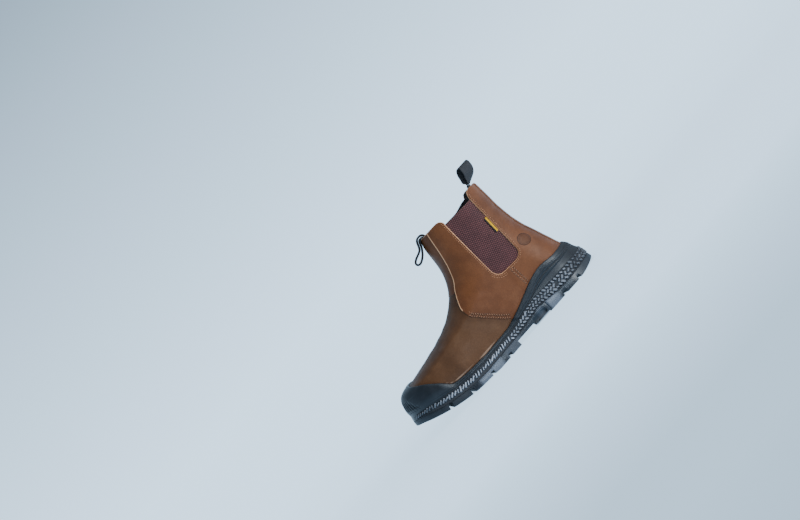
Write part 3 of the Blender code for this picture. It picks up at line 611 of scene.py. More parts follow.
def rubber_look(name, colour, roughness, fine=1500.0, deep=None, worn=(), dulled=()):
    """Moulded rubber: dusty bloom, fine skin, dull in its hollows and behind, scuffed at the toe, with
    painted highlights on listed stretches and painted shade in the tread's hollows.
    """
    look = Look(name)
    at = look.coords()
    x = look.split(at)["X"]
    bloom = look.noise(at, RUBBER_BLOOM, 4.0)
    base = look.blend(look.span(bloom, 0.4, 0.75), colour, shade(colour, 1.55, 0.004))
    rough = look.span(bloom, 0.3, 0.75, roughness - 0.05, roughness + 0.1)
    rough = look.plus(rough, look.span(x, RUBBER_BACK - 0.02, RUBBER_BACK, 0.45, 0.0))
    streaks = look.noise(look.vector("MULTIPLY", at, SCUFF_STREAKS)["Vector"], 1.0)
    toe = look.span(x, RUBBER_TOE, RUBBER_TOE + 0.02)
    scuff = look.times(look.span(streaks, 0.60, 0.72, 0.0, 0.5), toe)
    base = look.blend(scuff, base, shade(colour, SCUFF_PALE))
    # Painted highlights: listed stretches are made paler.
    if worn:
        base = look.blend(stretches(look, x, worn), base, shade(colour, WORN_PALE))
    if dulled:
        rough = look.plus(rough, stretches(look, x, dulled))
    # Hollows get rougher, and their colour is scaled by deep: darker in the tread's grooves and recesses
    # as painted shade, paler on the band's sunk floor and groove.
    if deep:
        hollow = look.attribute("hollow")
        rough = look.plus(rough, look.times(hollow, 0.3))
        base = look.blend(hollow, base, shade(colour, deep))
    return look.use(
        base_color=base, roughness=rough, normal=look.bump(look.noise(at, fine, 2.0), 0.2, 0.0003),
        specular_ior_level=0.34, specular_tint=(0.74, 0.87, 1.0, 1.0),
    )


def cloth_look(name, colour, pitch, roughness=0.9, sheen=0.25, relief=0.6):
    """Plain woven cloth on the piece's own surface map."""
    look = Look(name)
    across, along, _ = look.surface()
    weave = look.times(look.waves(across, pitch), look.waves(along, pitch))
    fuzz = look.noise(look.coords(), CLOTH_FUZZ)
    pale = shade(colour, 1 + 1.8 * relief, 0.01 * relief)
    base = look.blend(look.span(weave, -0.8, 0.9), colour, pale)
    base = look.blend(look.span(fuzz, 0.4, 0.7, 0.0, 0.4), base, pale)
    return look.use(
        base_color=base, normal=look.bump(weave, relief, 0.0003), roughness=roughness,
        specular_ior_level=0.14, sheen_weight=sheen, sheen_roughness=0.5,
    )


LABEL_BAR, LABEL_SOFT, LABEL_THREAD = 2.4, 0.15, 0.6


def label_look(name, colour, edge):
    """Plain coloured tape with a dark strip along its edge towards the elastic: painted shadow of the
    raised label, partly its dark folded edge.
    """
    look = Look(name)
    across, along, _ = look.surface()
    fuzz = look.noise(look.coords(), LABEL_FUZZ, 2.0)
    bar = look.blend(look.span(fuzz, 0.35, 0.75), colour, shade(colour, 0.7))
    # Painted shadow: the side towards the elastic is dark.
    folded = look.span(across, (LABEL_BAR - LABEL_SOFT) * MM, (LABEL_BAR + LABEL_SOFT) * MM)
    return look.use(
        base_color=look.blend(folded, bar, edge),
        normal=look.bump(look.waves(along, LABEL_THREAD), 0.4, 0.0002),
        specular_ior_level=0.15, roughness=0.7,
    )


def elastic_look(name, cloth):
    """Speckled knitted elastic: its stitch height is kept on the mesh."""
    look = Look(name)
    weave = look.attribute("weave")
    fuzz, patch = look.noise(look.coords(), KNIT_FUZZ), look.noise(look.coords(), KNIT_PATCH, 2.0)
    base = look.blend(look.span(weave, 0.22, 0.55), cloth.elastic_hole, cloth.elastic)
    base = look.blend(look.span(weave, 0.62, 0.95, 0.0, 0.8), base, cloth.elastic_speck)
    base = look.blend(look.span(fuzz, 0.5, 0.72, 0.0, 0.35), base, cloth.elastic_speck)
    base = look.blend(look.span(patch, 0.4, 0.7, 0.0, 0.25), base, cloth.elastic_hole)
    return look.use(
        base_color=base, normal=look.bump(fuzz, 0.35, 0.0003), roughness=0.85,
        specular_ior_level=0.2, sheen_weight=0.2, sheen_roughness=0.5,
    )


def thread_look(name, colour):
    """Twisted sewing thread."""
    look = Look(name)
    twist = look.noise(look.coords(), THREAD_TWIST, 2.0)
    base = look.blend(look.span(twist, 0.35, 0.7), colour, shade(colour, 1.35))
    normal = look.bump(twist, 0.3, 0.0002)
    return look.use(base_color=base, normal=normal, roughness=0.65, specular_ior_level=0.3)


def colour_setting(label, description, default, most=1.0):
    return FloatVectorProperty(
        name=label, description=description, default=default, min=0.0, max=most, subtype="COLOR",
    )


def number_setting(label, description, default, least, most, subtype="NONE"):
    return FloatProperty(
        name=label, description=description, default=default, min=least, max=most, subtype=subtype,
    )


class BootLeather(bpy.types.PropertyGroup):
    """Sizes and colours of the leather."""

    colour: colour_setting("Leather", "Colour of the leather", (0.108, 0.0375, 0.0128))
    dark: colour_setting("Dark", "Colour of its darker clouds", (0.074, 0.0255, 0.0092))
    pale: colour_setting("Pale", "Colour where the wax is pulled thin", (0.146, 0.058, 0.0235))
    raw: colour_setting("Raw edge", "Colour of a cut edge", (0.60, 0.335, 0.185))
    # Colour of the painted highlight along the vamp just above the rubber.
    rubbed: colour_setting("Rubbed", "Colour of the rubbed line above the rubber", (0.300, 0.205, 0.150))
    roughness: number_setting("Roughness", "Roughness of the waxed grain", 0.5, 0.0, 1.0, "FACTOR")
    spacing: number_setting("Spacing", "Millimetres between points of a cut panel", 1.5, 0.8, 6.0)


class BootCloth(bpy.types.PropertyGroup):
    """Colours and pitches of elastic, webbing, lining, label and thread."""

    elastic: colour_setting("Elastic", "Colour of the elastic's thread", (0.043, 0.0112, 0.0125))
    elastic_hole: colour_setting("Elastic hole", "Colour between its stitches", (0.0030, 0.0016, 0.0028))
    elastic_speck: colour_setting("Elastic speck", "Colour of its pale fibres", (0.145, 0.057, 0.056))
    stitch_across: number_setting("Stitch across", "Millimetres across a knitted stitch", 2.5, 1.0, 6.0)
    stitch_up: number_setting("Stitch up", "Millimetres up two staggered stitches", 5.4, 1.0, 12.0)
    lining: colour_setting("Lining", "Colour of the lining", (0.0045, 0.0045, 0.0055))
    webbing: colour_setting("Webbing", "Colour of the pull loops", (0.0085, 0.0095, 0.0115))
    label: colour_setting("Label", "Colour of the side label", (0.45, 0.25, 0.003))
    thread: colour_setting("Thread", "Colour of the thread", (0.185, 0.086, 0.042))
    thread_wide: number_setting("Thread width", "Width of a stitch", 0.0007, 0.0003, 0.003, "DISTANCE")
    stitch_long: number_setting("Stitch length", "Length of a stitch", 0.0020, 0.0005, 0.01, "DISTANCE")
    seam_pitch: number_setting("Seam pitch", "Step of slanted stitches", 0.0029, 0.0005, 0.01, "DISTANCE")
    stitch_pitch: number_setting("Stitch pitch", "Step of edge stitches", 0.0027, 0.0005, 0.01, "DISTANCE")


class BootRubber(bpy.types.PropertyGroup):
    """Colours and sizes of the sole."""

    band: colour_setting("Band", "Colour of the rubber round the boot", (0.0075, 0.0082, 0.0098))
    tread: colour_setting("Tread", "Colour of the tread rubber", (0.0095, 0.0115, 0.0150))
    roughness: number_setting("Roughness", "Roughness of the rubber", 0.42, 0.0, 1.0, "FACTOR")
    # The chips' pale colour is a painted highlight on their faces.
    chip: colour_setting("Chip", "Colour of the rubbed chips of the side band", (0.047, 0.052, 0.061))
    chip_pitch: number_setting("Chip pitch", "Millimetres between chips of the band", 5.0, 2.0, 12.0)
    chip_proud: number_setting("Chip height", "Height of a chip", 0.0015, 0.0002, 0.004, "DISTANCE")


class BootStage(bpy.types.PropertyGroup):
    """Floor, light and camera."""

    floor: colour_setting("Floor", "Colour of the floor", (0.72, 0.83, 0.92))
    sky: colour_setting("Surround", "Colour of the light all round", (0.735, 1.03, 1.33), 2.0)
    key: number_setting("Key", "Power of the main lamp", 33.5, 0.0, 500.0, "POWER")
    front: number_setting("Front", "Power of the small lamp before the side", 5.5, 0.0, 500.0, "POWER")
    top: number_setting("Top", "Power of the lamp above the side", 2.6, 0.0, 500.0, "POWER")
    lens: number_setting("Lens", "Focal length", 48.1, 10.0, 300.0, "DISTANCE_CAMERA")
    roll: number_setting("Roll", "Turn about its own axis", math.radians(48.5), -math.pi, math.pi, "ANGLE")
    eye: FloatVectorProperty(
        name="Eye", description="Place of the camera", subtype="TRANSLATION",
        default=(0.0107, 1.3547, 0.180),
    )


class BootSettings(bpy.types.PropertyGroup):
    """Everything about the boot that can be changed."""

    leather: PointerProperty(type=BootLeather)
    cloth: PointerProperty(type=BootCloth)
    rubber: PointerProperty(type=BootRubber)
    stage: PointerProperty(type=BootStage)


def settings():
    return bpy.context.scene.boot


# Cut panels of the quarters. A panel is laid out flat first: across runs along the boot from
# the line x = FLAT_X, and up is the height of each section on that line.
FLAT_X = 80.0
FLAT_LEVELS = np.linspace(0.0, COLLAR_LEVEL, 481)
FLAT_HEIGHTS = skin(FLAT_LEVELS, FLAT_X, True)[:, 2]


def run_length(level, x):
    """Length along a section from its back to x, over its rounded ends."""
    row = section(level)
    back, front = row.back_round, row.front_round
    straight = row.front_x - row.back_x - back - front
    at_back = back * np.arccos(np.clip(1 - (x - row.back_x) / back, -1.0, 1.0))
    along = back * np.pi / 2 + (x - row.back_x - back)
    left = np.arccos(np.clip(1 - (row.front_x - x) / front, -1.0, 1.0))
    at_front = back * np.pi / 2 + straight + front * (np.pi / 2 - left)
    result = np.where(x - row.back_x < back, at_back, along)
    return np.where(row.front_x - x < front, at_front, result)


def flat_of(level, x):
    """Place in the flat layout of a point of the quarter."""
    across = run_length(level, x) - run_length(level, FLAT_X)
    up = np.interp(level, FLAT_LEVELS, FLAT_HEIGHTS)
    return np.stack(np.broadcast_arrays(across, up), axis=-1)


def from_flat(flat):
    """(level, x) of places in the flat layout."""
    level = np.interp(flat[:, 1], FLAT_HEIGHTS, FLAT_LEVELS)
    row = section(level)
    back, front = row.back_round, row.front_round
    straight = row.front_x - row.back_x - back - front
    run = flat[:, 0] + run_length(level, FLAT_X)
    x = row.back_x + back + run - back * np.pi / 2
    at_back = row.back_x + back * (1 - np.cos(np.clip(run / back, 0.0, np.pi)))
    x = np.where(run < back * np.pi / 2, at_back, x)
    beyond = (run - back * np.pi / 2 - straight) / front
    at_front = row.front_x - front * (1 - np.cos(np.pi / 2 - beyond))
    return level, np.where(beyond > 0, at_front, x)


def spread(line, step):
    """Points along a polyline, about a step apart, its corners kept."""
    line = np.asarray(line, float)
    parts = []
    for a, b in zip(line, line[1:]):
        count = max(1, int(round(np.linalg.norm(b - a) / step)))
        parts.append(a + (b - a) * (np.arange(count) / count)[:, None])
    return np.concatenate(parts + [line[-1:]])


def edge_distance(places, line):
    """Distance of flat places from a polyline."""
    best = np.full(len(places), 1e9)
    for a, b in zip(line, line[1:]):
        run = b - a
        t = np.clip((places - a) @ run / max(run @ run, 1e-12), 0.0, 1.0)
        best = np.minimum(best, np.linalg.norm(places - a - t[:, None] * run, axis=1))
    return best


def inside(places, ring):
    """Whether flat places lie inside a closed ring."""
    found = np.zeros(len(places), bool)
    for a, b in zip(ring, np.roll(ring, -1, axis=0)):
        crosses = (a[1] > places[:, 1]) != (b[1] > places[:, 1])
        rise = b[1] - a[1] if b[1] != a[1] else 1e-12
        at = a[0] + (places[:, 1] - a[1]) / rise * (b[0] - a[0])
        found ^= crosses & (places[:, 0] < at)
    return found


PRESS_X, PRESS_Z, PRESS_RADIUS = 43.4, 82.0, 9.0
PRESS_CLEAR, PRESS_SPACING = 1.5, 0.32
EDGE_ROWS = (0.25, 0.6, 1.1)  # millimetres in from a cut edge


def press_centre():
    """Flat place of the round press mark."""
    x = np.array(PRESS_X)
    return flat_of(level_of_height(np.array(PRESS_Z), x, True), x)


def press_lines(flat):
    """How deep the two plain circles of the press mark are at flat places."""
    away = np.linalg.norm(flat - press_centre(), axis=1)
    outer = np.exp(-(((away - PRESS_RADIUS) / 0.6) ** 2))
    inner = 0.8 * np.exp(-(((away - 0.74 * PRESS_RADIUS) / 0.5) ** 2))
    return np.maximum(outer + inner, 0.5 * (1 - ease((away - 0.95 * PRESS_RADIUS) / 0.8)))


def cut_flat(ring, spacing, fine=None):
    """Flat places and triangles of a panel inside a ring, closer along its edge and round fine."""
    ahead = np.roll(ring, -1, axis=0) - np.roll(ring, 1, axis=0)
    area = np.sum(ring[:, 0] * np.roll(ring[:, 1], -1) - np.roll(ring[:, 0], -1) * ring[:, 1])
    inward = unit(np.stack([-ahead[:, 1], ahead[:, 0]], axis=-1)) * np.sign(area)
    closed = np.concatenate([ring, ring[:1]])
    parts = [ring]
    for inset in EDGE_ROWS:
        row = ring + inward * inset
        parts.append(row[inside(row, ring) & (edge_distance(row, closed) > 0.8 * inset)])
    low, high = ring.min(axis=0), ring.max(axis=0)
    grid = np.meshgrid(np.arange(low[0], high[0], spacing), np.arange(low[1], high[1], spacing))
    grid = np.stack(grid, axis=-1).reshape(-1, 2)
    grid = grid[inside(grid, ring)]
    if fine is not None:
        reach = PRESS_RADIUS + PRESS_CLEAR
        grid = grid[np.linalg.norm(grid - fine, axis=1) > reach + 0.5]
        steps = np.arange(-reach, reach + 0.1, PRESS_SPACING)
        close = np.stack(np.meshgrid(steps, steps), axis=-1).reshape(-1, 2)
        grid = np.concatenate([grid, fine + close[np.linalg.norm(close, axis=1) < reach]])
    parts.append(grid[edge_distance(grid, closed) > EDGE_ROWS[-1] + 0.45 * spacing])
    count = len(ring)
    edges = [(i, (i + 1) % count) for i in range(count)]
    result = delaunay_2d_cdt([Vector(p) for p in np.concatenate(parts)], edges, [], 1, 1e-5)
    return np.array([tuple(v) for v in result[0]]), np.array(result[2])


def panel_solid(flat, triangles, outer, outside, inside_lift):
    """Points and faces of a cut panel on one side of the boot, closed round its edge."""
    level, x = from_flat(flat)
    turn = turn_at(level, x, outer)
    top = leather(level, turn, outside)
    under = lifted(level, turn, inside_lift)
    if outer:
        triangles = triangles[:, ::-1]
    count = len(flat)
    ends = np.concatenate([triangles[:, [0, 1]], triangles[:, [1, 2]], triangles[:, [2, 0]]])
    keys = np.sort(ends, axis=1)
    _, first, seen = np.unique(keys, axis=0, return_index=True, return_counts=True)
    rim = ends[first[seen == 1]]
    walls = np.stack([rim[:, 1], rim[:, 0], rim[:, 0] + count, rim[:, 1] + count], axis=-1)
    faces = [*triangles, *(triangles[:, ::-1] + count), *walls]
    return np.concatenate([top, under]), faces


SEAM_X, SEAM_LAP = 81.0, 5.0
TAB_ROUND = 8.5
RING_STEP, NOTCH_CLOSER = 0.9, 0.35
SEAT, HIDDEN_LAP, ON_EDGE = 0.05, 0.5, 0.3
HIDDEN_DEPTH = 0.35


def rim_level(turn):
    """Level at which the upper comes out of the rubber."""
    def in_rubber(level):
        at = on_last(level, turn)
        return at[..., 2] < side_height("rim", at[..., 0])

    return crossing(in_rubber, np.shape(turn), GUSSET_LEVEL)


def bottom_level(x, outer):
    """Level of a panel's hidden lower edge, inside the rubber."""
    turn = turn_at(1.0, np.asarray(x, float), outer)
    return np.maximum(rim_level(turn) - HIDDEN_DEPTH, 0.05)


def tab_top(x, corner_x, inwards):
    """Level of a collar tab's top at x, rounded off towards its corner by the elastic."""
    reach = np.clip((x - corner_x) * inwards, 0.0, TAB_ROUND)
    drop = TAB_ROUND - np.sqrt(np.maximum(TAB_ROUND ** 2 - (TAB_ROUND - reach) ** 2, 0.0))
    return COLLAR_LEVEL - drop / COLLAR_RISE


def gusset_side(edge, inwards):
    """Flat places up the rear side (edge 0) or down the front side (edge 1) of the notch."""
    corner = float(gusset_edges(np.array(COLLAR_LEVEL))[edge])
    top = tab_top(corner, corner, inwards)
    levels = np.linspace(top, GUSSET_LEVEL, 170) if edge else np.linspace(GUSSET_LEVEL, top, 170)
    share = (levels - GUSSET_LEVEL) / (COLLAR_LEVEL - GUSSET_LEVEL)
    levels = GUSSET_LEVEL + (levels - GUSSET_LEVEL) * share ** NOTCH_CLOSER
    return flat_of(levels, gusset_edges(levels)[edge]), corner


def front_quarter_ring(outer):
    """Outline of the quarter in front of the elastic, its raw edge, its front edge and its seam."""
    x = np.linspace(SEAM_X, section(np.array(0.6)).quarter_x, 40)
    low = flat_of(bottom_level(x, outer), x)
    start = np.interp(low[-1, 1], FLAT_HEIGHTS, FLAT_LEVELS)
    levels = np.linspace(start, COLLAR_LEVEL, 150)
    edge = flat_of(levels, section(levels).quarter_x)
    side, corner = gusset_side(1, 1.0)
    x = np.linspace(float(section(np.array(COLLAR_LEVEL)).quarter_x), corner, 60)
    top = flat_of(tab_top(x, corner, 1.0), x)
    foot_x = float(gusset_edges(np.array(GUSSET_LEVEL))[1])
    base = flat_of(np.full(8, GUSSET_LEVEL), np.linspace(foot_x, SEAM_X, 8))
    raw = np.concatenate([edge, top[1:], side[1:], base[1:]])
    seam = np.array([base[-1], low[0]])
    ring = np.concatenate([low[:-1], raw[:-1], spread(seam, RING_STEP)[:-1]])
    return ring, raw, edge, seam


def back_quarter_ring(outer):
    """Outline of the quarter behind the elastic, and its raw edge."""
    end = SEAM_X + SEAM_LAP
    levels = np.linspace(0.4, COLLAR_LEVEL, 110)
    row = section(levels)
    back_x = row.back_x + row.back_round * (1 - np.cos(0.55 * BACK_STRIP_HALF / row.back_round))
    back = flat_of(levels, back_x)[::-1]
    x = np.linspace(float(back_x[0]), end, 50)
    low = flat_of(bottom_level(x, outer), x)
    foot_x = float(gusset_edges(np.array(GUSSET_LEVEL))[0])
    lap = np.array([low[-1], flat_of(np.array(GUSSET_LEVEL), end)])
    base = flat_of(np.full(9, GUSSET_LEVEL), np.linspace(end, foot_x, 9))
    side, corner = gusset_side(0, -1.0)
    x = np.linspace(corner, float(back_x[-1]), 40)
    top = flat_of(tab_top(x, corner, -1.0), x)
    raw = np.concatenate([base, side[1:], top[1:]])
    keep = back[back[:, 1] > low[0, 1] + 0.8]
    return np.concatenate([low[:-1], spread(lap, RING_STEP)[:-1], raw[:-1], keep]), raw


def even_ring(ring, least=0.35):
    """A ring without points that lie too close together."""
    kept = [ring[0]]
    for at in ring[1:]:
        if np.linalg.norm(at - kept[-1]) >= least:
            kept.append(at)
    if np.linalg.norm(kept[-1] - kept[0]) < least:
        kept.pop()
    return np.array(kept)


EDGE_ROUND = 0.7
FRONT_CUT, SIDE_CUT, SIDE_FAINT, BACK_FAINT, FAR = 1.7, 1.2, 0.5, 0.72, 9.0


def round_off(distance):
    """How far a cut edge falls at a distance from it."""
    part = np.clip(1 - distance / EDGE_ROUND, 0.0, 1.0)
    return EDGE_ROUND * (1 - np.sqrt(1 - part ** 2))


class BOOT_OT_quarters(bpy.types.Operator):
    """Cuts the leather quarters of both sides, with raw edges and the seam under the elastic"""

    bl_idname = "boot.quarters"
    bl_label = "Quarters"

    LAP_LIFT, BEAD_LIFT, PARED, PRESS_DEEP = 0.75, 0.45, 0.95, 0.3
    U_FOOT, COVERED = 4.9, 5.6

    def execute(self, context):
        tone = settings().leather
        look = leather_look("quarter leather", tone, True)
        for side, outer in BOTH_SIDES:
            self.front(f"front_quarter_{side}", outer, look, tone.spacing)
            self.back(f"back_quarter_{side}", outer, look, tone.spacing)
        return {"FINISHED"}

    def front(self, name, outer, look, spacing):
        ring, raw, edge, _ = front_quarter_ring(outer)
        flat, triangles = cut_flat(even_ring(ring), spacing)
        level, x = from_flat(flat)
        near_raw, near_front = edge_distance(flat, raw), edge_distance(flat, edge)
        near_seam = np.abs(x - SEAM_X) + 30.0 * (level > GUSSET_LEVEL + 0.05)
        lap = self.LAP_LIFT * (1 - ease((near_seam - 3.0) / 9.0))
        bead = self.BEAD_LIFT * np.exp(-((near_front / 2.5) ** 2)) * ease(level - self.U_FOOT - 0.3)
        pared = self.PARED * (1 - ease(near_front / 12.0)) * (1 - ease(level - self.U_FOOT))
        outside = QUARTER_STEP + lap + bead - pared - round_off(np.minimum(near_raw, near_seam))
        under = mix(QUARTER_STEP + SEAT, -HIDDEN_LAP, ease((near_seam - SEAM_LAP - 0.6) / 4.0))
        over_vamp = 1 - ease((section(level).quarter_x - x - 9.0) / 5.0)
        under = np.maximum(under, mix(-HIDDEN_LAP, SEAT, over_vamp))
        covered = FAR * (1 - ease((level - self.COVERED) / 0.4))
        cut = np.minimum(near_front / FRONT_CUT, near_raw / SIDE_CUT + SIDE_FAINT) + covered
        cut = np.concatenate([cut, np.where(near_raw < ON_EDGE, covered, FAR)])
        points, faces = panel_solid(flat, triangles, outer, outside, under)
        finish_piece(new_piece(name, points, faces, look, cut=cut), "upper_leather", "upper")

    def back(self, name, outer, look, spacing):
        ring, raw = back_quarter_ring(outer)
        flat, triangles = cut_flat(even_ring(ring), spacing, press_centre() if outer else None)
        near_raw = edge_distance(flat, raw)
        press = press_lines(flat) if outer else np.zeros(len(flat))
        outside = QUARTER_STEP - round_off(near_raw) - self.PRESS_DEEP * press
        inside_cut = np.where(near_raw < ON_EDGE, BACK_FAINT, FAR)
        cut = np.concatenate([near_raw / SIDE_CUT + BACK_FAINT, inside_cut])
        press = np.concatenate([press, 0 * press])
        points, faces = panel_solid(flat, triangles, outer, outside, -HIDDEN_LAP)
        obj = new_piece(name, points, faces, look, cut=cut, press=press)
        finish_piece(obj, "upper_leather", "upper")


def level_grid(levels, start, end, count):
    """Grids of levels, one a row, and of turns that go from start to end across the rows."""
    share = np.linspace(0.0, 1.0, count)[None, :]
    turn = start[:, None] + (end - start)[:, None] * share
    return np.broadcast_to(levels[:, None], turn.shape), turn


class BOOT_OT_vamp(bpy.types.Operator):
    """Lays the vamp over the last, from the toe to under the quarters"""

    bl_idname = "boot.vamp"
    bl_label = "Vamp"

    # TINT makes the vamp's leather greyer, its own tone, and darker, a painted shade.
    TINT, COLUMNS = (0.68, 0.86, 1.0), 190
    UNDER_QUARTER, FRONT_CLEAR = 8.0, 18.0
    RUB_ABOVE, RUB_WIDE, RUB_FROM, RUB_TO = 1.3, 0.7, 150.0, 246.0

    def execute(self, context):
        look = leather_look("vamp leather", settings().leather, False, self.TINT)
        levels = np.concatenate([np.linspace(0.1, 3.9, 34), np.linspace(4.0, 7.35, 92)])
        row = section(levels)
        x = np.minimum(row.quarter_x - self.UNDER_QUARTER, row.front_x - self.FRONT_CLEAR)
        start, end = turn_at(levels, x, True), turn_at(levels, x, False)
        level, turn = level_grid(levels, start, end, self.COLUMNS)
        outer, inner = leather(level, turn, 0.0), lifted(level, turn, -HIDDEN_LAP)
        x = outer[..., 0]
        # Painted highlight: a pale line a little above the rubber, along the vamp from x 150 to 246.
        above = outer[..., 2] - on_last(rim_level(turn), turn)[..., 2]
        rubbed = np.exp(-(((above - self.RUB_ABOVE) / self.RUB_WIDE) ** 2))
        rubbed = rubbed * ease((x - self.RUB_FROM) / 25.0) * ease((self.RUB_TO - x) / 12.0)
        add_sheet("vamp", outer, inner, look, "upper_leather", "upper", under=0.0, rubbed=rubbed)
        return {"FINISHED"}


class BOOT_OT_front_panel(bpy.types.Operator):
    """Lays the front panel from the throat to the collar, between the quarters"""

    bl_idname = "boot.front_panel"
    bl_label = "Front panel"

    COLUMNS, UNDER_QUARTER, SUNK = 64, 6.0, 0.55
    THROAT_RISE, FRONT_RISE = 20.0, 13.0

    def execute(self, context):
        look = leather_look("front panel leather", settings().leather, True)
        low = np.array([0.0, 0.02, 0.05, 0.09])
        middle = np.linspace(7.08, 11.93, 76)
        levels = np.concatenate([THROAT_LEVEL + 0.5 * low, middle, COLLAR_LEVEL - low[2::-1]])
        x = section(levels).quarter_x - self.UNDER_QUARTER
        start, end = turn_at(levels, x, True), turn_at(levels, x, False)
        level, turn = level_grid(levels, start, end, self.COLUMNS)
        rise = self.THROAT_RISE * (level - THROAT_LEVEL)
        fall = self.FRONT_RISE * (COLLAR_LEVEL - level)
        outer = leather(level, turn, FRONT_STEP - 0.6 * round_off(np.minimum(rise, fall)))
        inner = lifted(level, turn, -self.SUNK)
        cut = fall / SIDE_CUT + SIDE_FAINT
        add_sheet("front_panel", outer, inner, look, "upper_leather", "upper", cut=cut)
        return {"FINISHED"}


class BOOT_OT_lining(bpy.types.Operator):
    """Lines the inside of the upper with cloth, open at the elastic"""

    bl_idname = "boot.lining"
    bl_label = "Lining"

    PITCH, BEHIND_EDGE, OUTSIDE = 1.6, 4.0, 0.6

    def execute(self, context):
        look = cloth_look("lining cloth", settings().cloth.lining, self.PITCH)
        low = np.concatenate([np.linspace(0.05, 5.6, 44), np.linspace(5.68, 5.74, 2)])
        high = np.concatenate([np.linspace(5.74, 6.4, 9), np.linspace(6.5, 11.94, 60)])
        rear, front = gusset_edges(np.maximum(high, GUSSET_LEVEL))
        back = turn_at(high, rear - self.BEHIND_EDGE, True)
        ahead = turn_at(high, front + self.BEHIND_EDGE, True)
        seam = np.zeros(len(low))
        for name, levels, start, end, count in (
            ("lining_foot", low, seam, seam + 2.0, 240),
            ("lining_heel", high, -back, back, 70),
            ("lining_front", high, ahead, 2 - ahead, 120),
        ):
            level, turn = level_grid(levels, start, end, count)
            outer, inner = lifted(level, turn, -self.OUTSIDE), lifted(level, turn, -WALL)
            surface = np.stack([travelled(inner, 1), inner[..., 2]], axis=-1)
            add_sheet(name, outer, inner, look, "upper_leather", "upper", uv=surface)
        return {"FINISHED"}


class BOOT_OT_back_strip(bpy.types.Operator):
    """Lays the strip down the back seam"""

    bl_idname = "boot.back_strip"
    bl_label = "Back strip"

    LIFT, TOP_LEVEL = 0.9, 11.96

    def execute(self, context):
        look = leather_look("back strip leather", settings().leather, True)
        levels = np.linspace(rim_level(np.array(0.0)) - 0.1, self.TOP_LEVEL, 84)
        row = section(levels)
        lean = np.arcsin(BACK_STRIP_HALF / row.heel)
        half = turn_at(levels, row.back_x + row.back_round * (1 - np.cos(lean)), True)
        edge = np.array([0.0, *EDGE_ROWS])
        wide = 2 * BACK_STRIP_HALF
        across = np.concatenate([edge, np.linspace(2.0, wide - 2.0, 18), wide - edge[::-1]])
        share = across / BACK_STRIP_HALF - 1.0
        turn = half[:, None] * share[None, :]
        level = np.broadcast_to(levels[:, None], turn.shape)
        fall = COLLAR_RISE * (levels[-1] - level)
        near = np.minimum(BACK_STRIP_HALF * (1 - np.abs(share)), fall)
        outer = leather(level, turn, QUARTER_STEP + self.LIFT - round_off(near))
        inner = lifted(level, turn, QUARTER_STEP + SEAT)
        cut = fall / SIDE_CUT + SIDE_FAINT
        add_sheet("back_strip_leather", outer, inner, look, "strip_leather", "back_strip", cut=cut)
        return {"FINISHED"}


class BOOT_OT_gussets(bpy.types.Operator):
    """Knits the elastic side panels"""

    bl_idname = "boot.gussets"
    bl_label = "Elastic panels"

    COLUMNS, BEHIND_EDGE = 104, 3.4
    STITCH_TALL, STITCH_SINK, INNER_RISE = 0.38, 0.35, 0.28

    def execute(self, context):
        cloth = settings().cloth
        look = elastic_look("knitted elastic", cloth)
        high = np.linspace(6.64, GUSSET_TOP_LEVEL, 170)
        levels = np.concatenate([np.linspace(5.74, 6.6, 30), high])
        rear, front = gusset_edges(np.maximum(levels, GUSSET_LEVEL))
        rear, front = rear - self.BEHIND_EDGE, front + self.BEHIND_EDGE
        for side, outer in BOTH_SIDES:
            start, end = turn_at(levels, rear, outer), turn_at(levels, front, outer)
            level, turn = level_grid(levels, start, end, self.COLUMNS)
            turn = turn if outer else turn[:, ::-1]
            at = on_last(level, turn)
            if not outer:
                behind = ease((75.0 - at[..., 0]) / 25.0)
                level = level + self.INNER_RISE * behind * ease((level - 10.0) / 1.3)
                at = on_last(level, turn)
            across = 2 * np.pi * at[..., 0] / cloth.stitch_across
            up = 2 * np.pi * at[..., 2] / cloth.stitch_up
            weave = 0.5 - 0.5 * np.cos(across) * np.cos(up)
            roll = round_off(COLLAR_RISE * (level[-1:] - level))
            lift = -GUSSET_SINK - self.STITCH_SINK + self.STITCH_TALL * np.sqrt(weave) - roll
            outside = lifted(level, turn, lift)
            inner = lifted(level, turn, -GUSSET_SINK - GUSSET_THICK)
            add_sheet(
                f"elastic_{side}", outside, inner, look, "gusset_elastic", f"gusset_{side}",
                under=0.1, weave=weave,
            )
        return {"FINISHED"}


